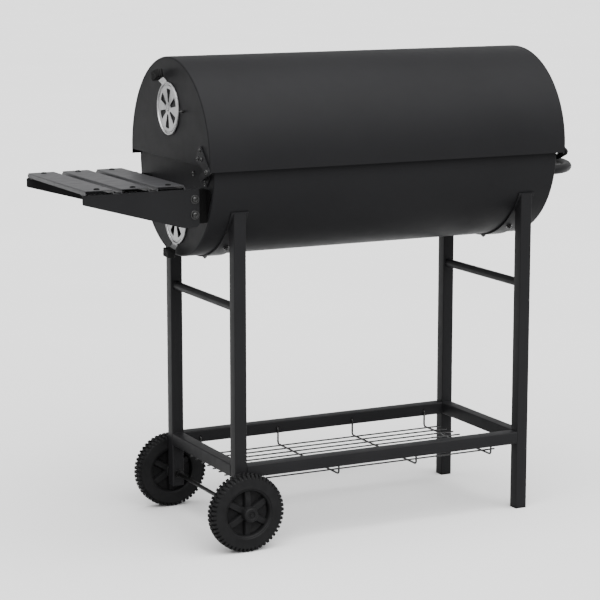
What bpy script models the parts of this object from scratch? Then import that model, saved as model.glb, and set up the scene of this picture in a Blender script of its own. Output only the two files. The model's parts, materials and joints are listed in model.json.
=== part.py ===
"""Barrel charcoal grill on a tube stand with two wheels, a side shelf and a hinged lid.

Metres, +Z up. The barrel lies along X: the side shelf and the wheels are at the -X end, the push
handle is at the +X end. The lid turns on hinges at the -Y (rear) side, and the cook stands at +Y.
Every size below is measured from the middle of the barrel, and the floor is at z = 0; the empty
called grill then moves the whole object so that its origin is at its bottom centre.
"""

from math import asin, atan2, cos, hypot, pi, radians, sin

import bmesh
import bpy
from mathutils import Matrix, Vector

GAP = 0.0003  # between pieces that touch
RUN = 0.0001  # round a pin or an axle that something turns on
SHEET = 0.001  # barrel steel
PLATE = 0.002  # brackets, leaves and angles

# Square-tube stand
TUBE = 0.025
TUBE_WALL = 0.0012
TUBE_CORNER = 0.002
LEG_X = 0.320
LEG_Y = 0.153
RAIL_Z = 0.151
SHELF_END_LEG_FOOT = 0.052
FOOT_PLUG_LIP = 0.003
FOOT_PLUG_DEPTH = 0.014
CROSS_TUBE_R = 0.0085
CROSS_TUBE_Z = 0.4716

# Barrel: bowl and lid
BOWL_R = 0.180
BOWL_Z = 0.737
BOWL_HALF = 0.380
BOWL_RIM_Z = 0.757
LID_R = 0.192
LID_Z = 0.753
LID_HALF = 0.3935
LID_SKIRT_Z = 0.740
LID_CAP_FOOT_Z = 0.749
ARC_STEPS = 32

# Cradle straps under the bowl, each welded to two legs
STRAP_T = 0.003
STRAP_HALF_W = 0.018
STRAP_BOLT_ANGLES = (-33, 0, 33)

# Wheels
WHEEL_R = 0.077
WHEEL_INNER_Y = 0.170
WHEEL_OUTER_Y = 0.200
RIM_R = 0.050
HUB_R = 0.0145
HUB_INNER_Y = 0.168
HUB_OUTER_Y = 0.204
HUB_CAP_END_Y = 0.2125
SPOKES = 6
WEB_SET_IN = 0.0135
WEB_T = 0.003
WASHER_R = 0.009
AXLE_R = 0.004
AXLE_HALF = 0.209

# Wire shelf hung between the rails
LONG_WIRES = 9
LONG_WIRE_PITCH = 0.028
LONG_WIRE_R = 0.0015
LONG_WIRE_ENDS = (-0.305, 0.285)
CROSS_WIRES_X = (-0.270, -0.093, 0.084, 0.261)
CROSS_WIRE_R = 0.002
CROSS_WIRE_Z = 0.116
WIRE_HOOK_Z = 0.150
WIRE_UPRIGHT_Y = 0.138
WIRE_TIP_Y = 0.146
WIRE_HOLE_R = 0.0026

# Side shelf
SLATS = {"shelf_slat_outer": -0.600, "shelf_slat_middle": -0.5285, "shelf_slat_inner": -0.457}
SLAT_W = 0.056
SLAT_H = 0.0085
SLAT_T = 0.0012
SLAT_HALF = 0.156
SLAT_TOP_Z = 0.7155
SLAT_SCREW_Y = 0.141
BRACKET_Y = 0.152
BRACKET_END_X = 0.632
BRACKET_ROOT_X = 0.3976
ANGLE_END_X = 0.426
BRACKET_FLANGE = 0.020
BRACKET_BOLTS = ((-0.4075, 0.687), (-0.4075, 0.6575))

# Hinges
HINGE_Y = -0.186
HINGE_Z = 0.741
HINGE_LOBE_R = 0.0072
HINGE_PIN_R = 0.0027

# Dampers on the shelf-end caps: centre height, tab direction from +Y towards +Z
LID_DAMPER_Z = 0.845
LID_DAMPER_TAB = 70
BOWL_DAMPER_Z = 0.631
BOWL_DAMPER_TAB = -86
DAMPER_R = 0.051
DAMPER_T = 0.0012
DAMPER_SLOTS = 6
SLOT_FROM_TAB = 26  # the nearest slot's middle, so that the tab comes off a web
KNOB_REACH = 0.068
KNOB_OUT = 0.0136
KNOB_HALF_W = 0.015
KNOB_HALF_L = 0.0085
KNOB_HALF_T = 0.0083
KNOB_CORNER = 0.004
STOP_Y = -0.071

# Handles
PUSH_HALF_W = 0.148
PUSH_REACH = 0.1047
PUSH_Z = 0.700
PUSH_TUBE_R = 0.0095
LID_HANDLE_HALF_W = 0.130
LID_HANDLE_REACH = 0.050
LID_HANDLE_TILT = 14
LID_HANDLE_TUBE_R = 0.008
WELD_STUB = 0.005

# Grates
LEDGE_TOP_Z = 0.7377
LEDGE_W = 0.020
LEDGE_HALF = 0.120
LEDGE_BOLT_Y = {"shelf_end": (-0.0845,), "handle_end": (-0.0845, 0.0845)}
LEDGE_BOLT_Z = 0.7276
BAR = 0.004
COOK_RODS = 17
COOK_ROD_PITCH = 0.020
COOK_HALF_Y = 0.166
COOK_HALF_X = 0.370
COOK_BARS_X = (-0.366, -0.122, 0.122, 0.366)
COAL_Z = 0.6225
COAL_RODS = 9
COAL_ROD_PITCH = 0.030
COAL_HALF_X = 0.350
COAL_BARS_X = (-0.330, -0.110, 0.110, 0.330)

# Where the middle of the barrel stands, so that the origin is at the bottom centre of the object
PUSH_END_X = BOWL_HALF + GAP + PUSH_REACH + PUSH_TUBE_R
LID_HANDLE_END_Y = (LID_R + GAP + LID_HANDLE_REACH) * cos(radians(LID_HANDLE_TILT)) + LID_HANDLE_TUBE_R
CENTRE_X = (BRACKET_END_X - PUSH_END_X) / 2
CENTRE_Y = (HUB_CAP_END_Y - LID_HANDLE_END_Y) / 2

ENDS = {"shelf_end": -1, "handle_end": 1}
SIDES = {"rear": -1, "front": 1}


# ---------------------------------------------------------------- scene, materials and outlines
def clear_scene():
    for thing in list(bpy.data.objects):
        bpy.data.objects.remove(thing)


def material(name, colour, roughness, metallic):
    made = bpy.data.materials.new(name)
    made.use_nodes = True
    shader = made.node_tree.nodes["Principled BSDF"]
    shader.inputs["Base Color"].default_value = (*colour, 1)
    shader.inputs["Roughness"].default_value = roughness
    shader.inputs["Metallic"].default_value = metallic
    return made


def empty(name, place, parent=None):
    made = bpy.data.objects.new(name, None)
    bpy.context.scene.collection.objects.link(made)
    made.location = place
    made.parent = parent
    return made


def arc(u, v, radius, start, end, steps):
    """Points on a circle round (u, v) from one angle to another, in degrees."""
    angles = [radians(start + (end - start) * i / steps) for i in range(steps + 1)]
    return [(u + radius * cos(a), v + radius * sin(a)) for a in angles]


def disc(u, v, radius, sides=12):
    return arc(u, v, radius, 0, 360, sides)[:-1]


def hull(points):
    """The convex outline round the points, anticlockwise."""
    points = sorted(set(points))

    def half(ordered):
        chain = []
        for p in ordered:
            while len(chain) > 1:
                a, b = chain[-2], chain[-1]
                if (b[0] - a[0]) * (p[1] - a[1]) - (b[1] - a[1]) * (p[0] - a[0]) > 1e-12:
                    break
                chain.pop()
            chain.append(p)
        return chain[:-1]

    return half(points) + half(points[::-1])


def rounded(*circles, sides=16):
    """The outline of a plate stretched round circles, each (u, v, radius)."""
    return hull([p for u, v, r in circles for p in disc(u, v, r, sides)])


def box_outline(u, v, half_u, half_v, corner=0.0, steps=3):
    if not corner:
        signs = ((-1, -1), (1, -1), (1, 1), (-1, 1))
        return [(u + su * half_u, v + sv * half_v) for su, sv in signs]
    corners = ((1, 1, 0), (-1, 1, 90), (-1, -1, 180), (1, -1, 270))
    return [
        p
        for su, sv, start in corners
        for p in arc(
            u + su * (half_u - corner), v + sv * (half_v - corner), corner, start, start + 90, steps
        )
    ]


# ---------------------------------------------------------------- solids
AXIS_ORDER = {
    "X": lambda u, v, w: (w, u, v),
    "Y": lambda u, v, w: (u, w, v),
    "Z": lambda u, v, w: (u, v, w),
}


def solid(name, bm):
    """An object holding this mesh, with its faces pointing out."""
    bmesh.ops.remove_doubles(bm, verts=bm.verts, dist=1e-7)
    bmesh.ops.recalc_face_normals(bm, faces=bm.faces)
    mesh = bpy.data.meshes.new(name)
    bm.to_mesh(mesh)
    bm.free()
    made = bpy.data.objects.new(name, mesh)
    bpy.context.scene.collection.objects.link(made)
    return made


def add_prism(bm, outline, axis, low, high, hole=None):
    """The outline run along an axis, with an optional hole of as many points as the outline."""
    order = AXIS_ORDER[axis]
    loops = [(loop, w) for loop in (outline, hole or ()) for w in (low, high)]
    rings = [[bm.verts.new(order(u, v, w)) for u, v in loop] for loop, w in loops]
    outer, inner = rings[:2], rings[2:]
    count = len(outline)
    for ring in (outer, inner) if hole else (outer,):
        for i in range(count):
            j = (i + 1) % count
            bm.faces.new((ring[0][i], ring[0][j], ring[1][j], ring[1][i]))
    for k in range(2):
        if not hole:
            bm.faces.new(outer[k])
            continue
        for i in range(count):
            j = (i + 1) % count
            bm.faces.new((outer[k][i], outer[k][j], inner[k][j], inner[k][i]))


def prism(name, outline, axis, low, high, hole=None):
    bm = bmesh.new()
    add_prism(bm, outline, axis, low, high, hole)
    return solid(name, bm)


def prisms(name, outlines, axis, low, high):
    """Several separate prisms in one mesh, as a tool for a Boolean."""
    bm = bmesh.new()
    for outline in outlines:
        add_prism(bm, outline, axis, low, high)
    return solid(name, bm)


def turned(name, profile, axis, u, v, sides=12):
    """A closed (radius, distance along the axis) profile turned about the line through (u, v)."""
    bm = bmesh.new()
    order = AXIS_ORDER[axis]
    rings = []
    for radius, w in profile:
        if radius:
            rings.append([bm.verts.new(order(a, b, w)) for a, b in disc(u, v, radius, sides)])
        else:
            rings.append([bm.verts.new(order(u, v, w))] * sides)
    for k, ring in enumerate(rings):
        following = rings[(k + 1) % len(rings)]
        for i in range(sides):
            j = (i + 1) % sides
            corners = list(dict.fromkeys((ring[i], ring[j], following[j], following[i])))
            if len(corners) > 2:
                bm.faces.new(corners)
    return solid(name, bm)


def bar_along(name, path, radius, sides, reach=0.0):
    """A round bar along a path of points; reach lengthens it at both ends."""
    bm = bmesh.new()
    points = [Vector(p) for p in path]
    if reach:
        points[0] -= (points[1] - points[0]).normalized() * reach
        points[-1] += (points[-1] - points[-2]).normalized() * reach
    steps = [(b - a).normalized() for a, b in zip(points, points[1:])]
    flat = steps[0].cross(steps[len(steps) // 2]) if len(steps) > 1 else Vector()
    normal = flat.normalized() if flat.length > 1e-6 else steps[0].orthogonal().normalized()
    rings = []
    for i, point in enumerate(points):
        before, after = steps[max(i - 1, 0)], steps[min(i, len(steps) - 1)]
        along = (before + after).normalized()
        stretch = 1 / max(along.dot(after), 0.5)
        side = normal.cross(along).normalized()
        angles = [2 * pi * (k + 0.5) / sides for k in range(sides)]
        spokes = [normal * cos(a) + side * stretch * sin(a) for a in angles]
        rings.append([bm.verts.new(point + spoke * radius) for spoke in spokes])
    for ring, following in zip(rings, rings[1:]):
        for k in range(sides):
            m = (k + 1) % sides
            bm.faces.new((ring[k], ring[m], following[m], following[k]))
    bm.faces.new(rings[0])
    bm.faces.new(rings[-1])
    return solid(name, bm)


def apply_tool(piece, operation, *tools):
    """Cuts the tools from the piece, or joins them to it, and removes them."""
    for tool in tools:
        change = piece.modifiers.new(operation.lower(), "BOOLEAN")
        change.operation = operation
        change.solver = "EXACT"
        change.object = tool
        bpy.context.view_layer.update()
        graph = bpy.context.evaluated_depsgraph_get()
        mesh = bpy.data.meshes.new_from_object(piece.evaluated_get(graph))
        piece.modifiers.clear()
        piece.data = mesh
        bpy.data.objects.remove(tool)
    return piece


def cut(piece, *tools):
    return apply_tool(piece, "DIFFERENCE", *tools)


def join(piece, *tools):
    return apply_tool(piece, "UNION", *tools)


def finish(piece, coat, parent):
    """Gives the piece its material and shading, and hangs it on its parent at its joint or at the root."""
    piece.data.materials.clear()
    piece.data.materials.append(coat)
    piece.data.shade_smooth()
    piece.data.set_sharp_from_angle(angle=radians(35))
    place = parent.location if parent.parent else Vector()
    piece.data.transform(Matrix.Translation(-place))
    piece.parent = parent
    return piece


# ---------------------------------------------------------------- fasteners
def bolt(
    name,
    axis,
    u,
    v,
    face,
    out,
    grip,
    shank_r=0.003,
    head_r=0.0055,
    head_h=0.003,
    washer_r=0.0,
    nut_r=0.005,
):
    """A bolt along an axis: its domed head stands out from the face, its nut is past the grip behind it."""
    start = face + out * GAP
    washer_h = 0.0012 if washer_r else 0.0
    base = start + out * washer_h
    nut = face - out * (grip + GAP)
    end = nut - out * 0.004
    profile = [(shank_r, start), (shank_r, nut), (nut_r, nut), (nut_r, end), (0, end)]
    rises = ((0, 1), (0.6, 0.9), (1, 0.35))
    dome = [(head_r * across, base + out * head_h * up) for across, up in rises]
    rest = [(head_r, base)] if washer_r else [(head_r, start)]
    washer = [(washer_r, base), (washer_r, start)] if washer_r else []
    return turned(name, profile + dome + rest + washer, axis, u, v, 10)


# ---------------------------------------------------------------- stand
def square_tube(name, axis, u, v, low, high):
    half = TUBE / 2
    outer = box_outline(u, v, half, half, TUBE_CORNER)
    inner = box_outline(u, v, half - TUBE_WALL, half - TUBE_WALL, TUBE_CORNER - TUBE_WALL / 2)
    return prism(name, outer, axis, low, high, inner)


def legs(coat, root):
    cope_r = BOWL_R + STRAP_T + 2 * GAP
    for side_name, side in SIDES.items():
        for end_name, end in ENDS.items():
            foot = SHELF_END_LEG_FOOT if end < 0 else FOOT_PLUG_LIP + GAP
            leg = square_tube(f"leg_{side_name}_{end_name}", "Z", end * LEG_X, side * LEG_Y, foot, BOWL_Z)
            cut(leg, prism("cope", disc(0, BOWL_Z, cope_r, 96), "X", -1, 1))
            if end < 0:
                near, far = sorted((side * (LEG_Y - TUBE), side * (LEG_Y + TUBE)))
                cut(leg, prism("axle_hole", disc(end * LEG_X, WHEEL_R, AXLE_R + GAP, 16), "Y", near, far))
            finish(leg, coat, root)


def rails(coat, root):
    long_half = LEG_X - TUBE / 2 - GAP
    short_half = LEG_Y - TUBE / 2 - GAP
    for side_name, side in SIDES.items():
        rail = square_tube(f"rail_{side_name}", "X", side * LEG_Y, RAIL_Z, -long_half, long_half)
        near, far = sorted((side * (LEG_Y - TUBE / 2 - 0.004), side * (LEG_Y - TUBE / 2 + 0.004)))
        holes = [disc(x, WIRE_HOOK_Z, WIRE_HOLE_R, 8) for x in CROSS_WIRES_X]
        finish(cut(rail, prisms("wire_holes", holes, "Y", near, far)), coat, root)
    for end_name, end in ENDS.items():
        rail = square_tube(f"rail_{end_name}", "Y", end * LEG_X, RAIL_Z, -short_half, short_half)
        finish(rail, coat, root)
        outer = disc(end * LEG_X, CROSS_TUBE_Z, CROSS_TUBE_R, 16)
        inner = disc(end * LEG_X, CROSS_TUBE_Z, CROSS_TUBE_R - TUBE_WALL, 16)
        finish(prism(f"cross_tube_{end_name}", outer, "Y", -short_half, short_half, inner), coat, root)


def foot_plugs(coat, root):
    half = TUBE / 2
    neck = half - TUBE_WALL - GAP
    corner = TUBE_CORNER - TUBE_WALL / 2
    for side_name, side in SIDES.items():
        y = side * LEG_Y
        outside = box_outline(LEG_X, y, half, half, TUBE_CORNER)
        lip = prism(f"foot_plug_{side_name}", outside, "Z", 0, FOOT_PLUG_LIP)
        inside = box_outline(LEG_X, y, neck, neck, corner)
        stem = prism("stem", inside, "Z", FOOT_PLUG_LIP / 2, FOOT_PLUG_DEPTH)
        finish(join(lip, stem), coat, root)


def radial_bolt(name, x, angle, inner_r, outer_r):
    """A bolt through the bowl's wall with its dome inside; angle is from straight down towards +Y."""
    length = outer_r - inner_r
    made = bolt(name, "Z", 0, 0, 0, 1, length, nut_r=0.0056)
    turn = Matrix.Rotation(radians(angle), 4, "X")
    made.data.transform(Matrix.Translation((x, 0, BOWL_Z)) @ turn @ Matrix.Translation((0, 0, -inner_r)))
    return made


def cradle_straps(coat, root):
    inner, outer = BOWL_R + GAP, BOWL_R + GAP + STRAP_T
    reach = 90 - asin((LEG_Y + TUBE / 2) / outer) * 180 / pi
    low, high = 180 + reach, 360 - reach
    outline = arc(0, BOWL_Z, outer, low, high, 24) + arc(0, BOWL_Z, inner, high, low, 24)
    for end_name, end in ENDS.items():
        middle = end * LEG_X
        ends = (middle - STRAP_HALF_W, middle + STRAP_HALF_W)
        strap = prism(f"cradle_strap_{end_name}", outline, "X", *ends)
        for angle in STRAP_BOLT_ANGLES:
            join(strap, radial_bolt("bolt", middle, angle, BOWL_R - SHEET - GAP, outer - GAP))
        finish(strap, coat, root)


# ---------------------------------------------------------------- wheels
def axle_and_wheels(steel, plastic, root):
    x, z = -LEG_X, WHEEL_R
    finish(prism("axle", disc(x, z, AXLE_R, 16), "Y", -AXLE_HALF, AXLE_HALF), steel, root)
    for side_name, side in SIDES.items():
        bore = AXLE_R + RUN
        washer_in, washer_out = LEG_Y + TUBE / 2 + GAP, HUB_INNER_Y - GAP
        washer = [(bore, washer_in), (WASHER_R, washer_in), (WASHER_R, washer_out), (bore, washer_out)]
        cap_y = HUB_OUTER_Y + GAP
        cap = [
            (0, AXLE_HALF + GAP),
            (bore, AXLE_HALF + GAP),
            (bore, cap_y),
            (HUB_R, cap_y),
            (HUB_R, HUB_CAP_END_Y - 0.003),
            (HUB_R - 0.003, HUB_CAP_END_Y),
            (0, HUB_CAP_END_Y),
        ]
        back = WHEEL_INNER_Y + WEB_SET_IN
        bead = RIM_R - 0.004
        section = [
            (bore, HUB_INNER_Y),
            (HUB_R, HUB_INNER_Y),
            (HUB_R, back),
            (bead, back),
            (bead, WHEEL_INNER_Y + 0.003),
            (RIM_R, WHEEL_INNER_Y),
            (WHEEL_R - 0.004, WHEEL_INNER_Y),
            (WHEEL_R, WHEEL_INNER_Y + 0.005),
            (WHEEL_R, WHEEL_OUTER_Y - 0.005),
            (WHEEL_R - 0.004, WHEEL_OUTER_Y),
            (RIM_R, WHEEL_OUTER_Y),
            (bead, WHEEL_OUTER_Y - 0.003),
            (bead, back + WEB_T),
            (HUB_R, back + WEB_T),
            (HUB_R, HUB_OUTER_Y),
            (bore, HUB_OUTER_Y),
        ]

        def spun(name, profile, sides):
            return turned(name, [(r, side * y) for r, y in profile], "Y", x, z, sides)

        finish(spun(f"axle_washer_{side_name}", washer, 16), steel, root)
        finish(spun(f"hub_cap_{side_name}", cap, 20), plastic, root)
        wheel = spun(f"wheel_{side_name}", section, 48)
        depth = sorted((side * (WHEEL_INNER_Y + 0.004), side * (WHEEL_OUTER_Y - 0.004)))
        for k in range(SPOKES):
            angle = pi / 2 + 2 * pi * k / SPOKES
            near, far = HUB_R - 0.003, RIM_R - 0.001
            across = 0.0068
            ends = [(near, -across), (far, -across), (far, across), (near, across)]
            c, s = cos(angle), sin(angle)
            spoke = [(x + r * c - t * s, z + r * s + t * c) for r, t in ends]
            join(wheel, prism("spoke", spoke, "Y", *depth))
        finish(wheel, plastic, empty(f"wheel_{side_name}_axis", (x, side * WHEEL_INNER_Y, z), root))


# ---------------------------------------------------------------- wire shelf
def wire_shelf(coat, root):
    bm = bmesh.new()
    high = CROSS_WIRE_Z + CROSS_WIRE_R + LONG_WIRE_R * 0.5
    for k in range(LONG_WIRES):
        y = (k - (LONG_WIRES - 1) / 2) * LONG_WIRE_PITCH
        add_prism(bm, disc(y, high, LONG_WIRE_R, 6), "X", *LONG_WIRE_ENDS)
    shelf = solid("wire_shelf", bm)
    for x in CROSS_WIRES_X:
        up = [(WIRE_TIP_Y, WIRE_HOOK_Z), (WIRE_UPRIGHT_Y, WIRE_HOOK_Z), (WIRE_UPRIGHT_Y, CROSS_WIRE_Z)]
        path = [(x, -y, z) for y, z in up] + [(x, y, z) for y, z in up[::-1]]
        join(shelf, bar_along("cross_wire", path, CROSS_WIRE_R, 6))
    finish(shelf, coat, root)


# ---------------------------------------------------------------- barrel
def wedges(v, inner_r, outer_r, half_angle, first):
    """Outlines of the damper's slots round (0, v); first is the angle of one slot's middle."""
    found = []
    for k in range(DAMPER_SLOTS):
        middle = first + 360 * k / DAMPER_SLOTS
        outer = arc(0, v, outer_r, middle - half_angle, middle + half_angle, 3)
        inner = arc(0, v, inner_r, middle + half_angle, middle - half_angle, 1)
        found.append(outer + inner)
    return found


def barrel_end(name, outline, outer_x, end, holes):
    """A flat end cap; holes are outlines cut through it."""
    low, high = sorted((end * outer_x, end * (outer_x - SHEET)))
    cap = prism(name, outline, "X", low, high)
    return cut(cap, prisms("holes", holes, "X", low - 0.002, high + 0.002)) if holes else cap


def bowl(coat, root):
    lift = asin((BOWL_RIM_Z - BOWL_Z) / BOWL_R) * 180 / pi
    outer = arc(0, BOWL_Z, BOWL_R, 180 - lift, 360 + lift, ARC_STEPS)
    inner = arc(0, BOWL_Z, BOWL_R - SHEET, 360 + lift, 180 - lift, ARC_STEPS)
    half = BOWL_HALF - SHEET - GAP
    shell = prism("bowl_shell", outer + inner, "X", -half, half)
    for end in ENDS.values():
        for angle in STRAP_BOLT_ANGLES:
            way = prism("way", disc(0, 0, 0.0034, 10), "Z", BOWL_R - 0.01, BOWL_R + 0.01)
            turn = Matrix.Rotation(radians(180 + angle), 4, "X")
            way.data.transform(Matrix.Translation((end * LEG_X, 0, BOWL_Z)) @ turn)
            cut(shell, way)
    finish(shell, coat, root)
    for end_name, end in ENDS.items():
        holes = [disc(y, LEDGE_BOLT_Z, 0.0034, 8) for y in LEDGE_BOLT_Y[end_name]]
        holes += [disc(u, v, 0.0030, 8) for u, v in HINGE_BOWL_BOLTS[end_name]]
        if end < 0:
            # the bowl damper stands open: its slots are over the cap's
            holes += wedges(BOWL_DAMPER_Z, 0.0125, 0.0375, 13, BOWL_DAMPER_TAB + SLOT_FROM_TAB)
            holes += [disc(0, BOWL_DAMPER_Z, 0.0029, 8), disc(STOP_Y, BOWL_DAMPER_Z, 0.0026, 8)]
        finish(barrel_end(f"bowl_cap_{end_name}", outer, BOWL_HALF, end, holes), coat, root)


def lid(coat, lid_axis):
    drop = asin((LID_Z - LID_SKIRT_Z) / LID_R) * 180 / pi
    outer = arc(0, LID_Z, LID_R, -drop, 180 + drop, ARC_STEPS)
    inner = arc(0, LID_Z, LID_R - SHEET, 180 + drop, -drop, ARC_STEPS)
    half = LID_HALF - SHEET - GAP
    finish(prism("lid_shell", outer + inner, "X", -half, half), coat, lid_axis)
    cap_drop = asin((LID_Z - LID_CAP_FOOT_Z) / LID_R) * 180 / pi
    outline = arc(0, LID_Z, LID_R, -cap_drop, 180 + cap_drop, ARC_STEPS)
    for end_name, end in ENDS.items():
        holes = [disc(u, v, 0.0030, 8) for u, v in HINGE_LID_BOLTS]
        if end < 0:
            # the lid damper stands closed: its webs are over the cap's slots
            shut = LID_DAMPER_TAB + SLOT_FROM_TAB + 180 / DAMPER_SLOTS
            holes += wedges(LID_DAMPER_Z, 0.0125, 0.0375, 13, shut)
            holes += [disc(0, LID_DAMPER_Z, 0.0029, 8), disc(STOP_Y, LID_DAMPER_Z, 0.0026, 8)]
        finish(barrel_end(f"lid_cap_{end_name}", outline, LID_HALF, end, holes), coat, lid_axis)


# ---------------------------------------------------------------- hinges
HINGE_LID_BOLTS = ((-0.150, 0.779), (-0.141, 0.7625), (-0.158, 0.7625))
HINGE_BOWL_BOLTS = {
    "shelf_end": ((-0.1445, 0.7130), (-0.1445, 0.7225)),
    "handle_end": ((-0.1445, 0.7225), (-0.1445, 0.7320)),
}
HINGE_ELBOW = (-0.1562, 0.7275, 0.0060)


def hinges(coat, steel, root, lid_axis):
    """A flat leaf on the lid cap, and outside it a leaf that steps out from the bowl cap below it."""
    pivot = (HINGE_Y, HINGE_Z)
    eye = (*pivot, HINGE_LOBE_R)
    upper_in = LID_HALF + GAP
    lower_in = upper_in + PLATE + GAP
    for end_name, end in ENDS.items():

        def layer(name, outline, low):
            return prism(name, outline, "X", *sorted((end * low, end * (low + PLATE))))

        def small_bolt(v, w, face, grip):
            return bolt("bolt", "X", v, w, end * face, end, grip, 0.0025, 0.0038, 0.0024, nut_r=0.0042)

        upper_shape = rounded(*[(*b, 0.0078) for b in HINGE_LID_BOLTS], eye)
        upper = layer(f"hinge_lid_leaf_{end_name}", upper_shape, upper_in)
        for v, w in HINGE_LID_BOLTS:
            join(upper, small_bolt(v, w, upper_in + PLATE - 2 * GAP, SHEET + PLATE))
        bore = disc(*pivot, HINGE_PIN_R + RUN, 16)
        finish(cut(upper, prism("bore", bore, "X", end * 0.38, end * 0.41)), coat, lid_axis)

        pad = BOWL_HALF + GAP
        bolts = HINGE_BOWL_BOLTS[end_name]
        lower_shape = rounded(*[(*b, 0.0060) for b in bolts], HINGE_ELBOW)
        lower = layer(f"hinge_bowl_leaf_{end_name}", lower_shape, pad)
        step = hull([(-0.1600, 0.7230), (-0.1545, 0.7335), (-0.1520, 0.7322), (-0.1575, 0.7217)])
        step_ends = sorted((end * (pad + 0.0005), end * (lower_in + PLATE - 0.0005)))
        join(lower, prism("step", step, "X", *step_ends))
        join(lower, layer("lobe", rounded(HINGE_ELBOW, eye), lower_in))
        for v, w in bolts:
            join(lower, small_bolt(v, w, pad + PLATE - 2 * GAP, SHEET + PLATE))
        finish(cut(lower, prism("bore", bore, "X", end * 0.39, end * 0.41)), coat, root)

        face = end * (lower_in + PLATE)
        pin_name, grip = f"hinge_pin_{end_name}", 2 * PLATE + GAP
        pin = bolt(pin_name, "X", *pivot, face, end, grip, HINGE_PIN_R, 0.0052, 0.0028, nut_r=0.0040)
        finish(pin, steel, root)


# ---------------------------------------------------------------- dampers
def damper(name, cap_x, z, tab_angle, disc_coat, knob_coat, body_axis, cap_parent):
    """A slotted disc that turns on a rivet over the shelf-end cap's slots, with a bent tab and a grip."""
    a = radians(tab_angle)

    def at(reach, across, out):
        return (-(cap_x + out), reach * cos(a) - across * sin(a), z + reach * sin(a) + across * cos(a))

    low, high = -(cap_x + GAP + DAMPER_T), -(cap_x + GAP)
    plate = prism(f"{name}_disc", disc(0, z, DAMPER_R, 48), "X", low, high)
    bend_r, start_r, half_w = 0.053, 0.046, 0.012
    slope = atan2(KNOB_OUT - GAP - DAMPER_T / 2, KNOB_REACH - bend_r)
    run = (KNOB_REACH - KNOB_HALF_L - GAP - bend_r) / cos(slope)
    end_r, end_out = bend_r + run * cos(slope), GAP + run * sin(slope)
    lift = DAMPER_T * cos(slope)
    lean = DAMPER_T * sin(slope)
    side = [(start_r, GAP + 0.0001), (bend_r, GAP), (end_r, end_out), (end_r - lean, end_out + lift),
            (bend_r - lean / 2, GAP + DAMPER_T), (start_r, GAP + DAMPER_T - 0.0001)]
    bm = bmesh.new()
    rows = [[bm.verts.new(at(r, across, out)) for r, out in side] for across in (-half_w, half_w)]
    for i in range(len(side)):
        j = (i + 1) % len(side)
        bm.faces.new((rows[0][i], rows[0][j], rows[1][j], rows[1][i]))
    bm.faces.new(rows[0])
    bm.faces.new(rows[1])
    join(plate, solid("tab", bm))
    holes = wedges(z, 0.0115, 0.0385, 14, tab_angle + SLOT_FROM_TAB) + [disc(0, z, 0.0030, 12)]
    cut(plate, prisms("slots", holes, "X", low - 0.002, high + 0.002))
    finish(plate, disc_coat, body_axis)

    outline = box_outline(0, KNOB_OUT, KNOB_HALF_W, KNOB_HALF_T, KNOB_CORNER)
    bm = bmesh.new()
    rows = [[bm.verts.new(at(reach, across, out)) for across, out in outline]
            for reach in (KNOB_REACH - KNOB_HALF_L, KNOB_REACH + KNOB_HALF_L)]
    for i in range(len(outline)):
        j = (i + 1) % len(outline)
        bm.faces.new((rows[0][i], rows[0][j], rows[1][j], rows[1][i]))
    bm.faces.new(rows[0])
    bm.faces.new(rows[1])
    finish(solid(f"{name}_grip", bm), knob_coat, body_axis)

    face = -(cap_x + GAP + DAMPER_T)
    grip = SHEET + GAP + DAMPER_T
    rivet = bolt(f"{name}_rivet", "X", 0, z, face, -1, grip, 0.0025, 0.006, 0.0018, nut_r=0.0045)
    finish(rivet, disc_coat, cap_parent)
    stop = bolt(f"{name}_stop", "X", STOP_Y, z, -cap_x, -1, SHEET, 0.0022, 0.0028, 0.008)
    finish(stop, disc_coat, cap_parent)


# ---------------------------------------------------------------- handles
def bow_handle(name, to_world, half_w, reach, tube_r, foot_r, coat, parent):
    """A hollow tube bent into a bow, with a ring plate at each foot. to_world takes (across, out)."""
    steps = 14
    angles = [pi * i / steps for i in range(steps + 1)]
    bow = [(-half_w * cos(t), WELD_STUB + (reach - WELD_STUB) * sin(t)) for t in angles]
    path = [to_world(*point) for point in [(-half_w, PLATE / 2), *bow, (half_w, PLATE / 2)]]
    handle = bar_along(name, path, tube_r, 12)
    normal = (Vector(to_world(0, 1)) - Vector(to_world(0, 0))).normalized()
    for across in (-half_w, half_w):
        foot = turned("foot", [(0, 0), (foot_r, 0), (foot_r, PLATE), (0, PLATE)], "Z", 0, 0, 16)
        turn = Vector((0, 0, 1)).rotation_difference(normal).to_matrix().to_4x4()
        foot.data.transform(Matrix.Translation(Vector(to_world(across, 0))) @ turn)
        join(handle, foot)
    cut(handle, bar_along("bore", path, tube_r - TUBE_WALL, 12, reach=0.01))
    finish(handle, coat, parent)


def handles(coat, root, lid_axis):
    def from_cap(across, out):
        return (BOWL_HALF + GAP + out, across, PUSH_Z)

    def from_lid(across, out):
        tilt = radians(LID_HANDLE_TILT)
        far = LID_R + GAP + out
        return (across, far * cos(tilt), LID_Z + far * sin(tilt))

    push = (PUSH_HALF_W, PUSH_REACH, PUSH_TUBE_R, PUSH_TUBE_R + 0.0025)
    bow_handle("push_handle", from_cap, *push, coat, root)
    lift = (LID_HANDLE_HALF_W, LID_HANDLE_REACH, LID_HANDLE_TUBE_R, LID_HANDLE_TUBE_R + 0.006)
    bow_handle("lid_handle", from_lid, *lift, coat, lid_axis)


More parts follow.
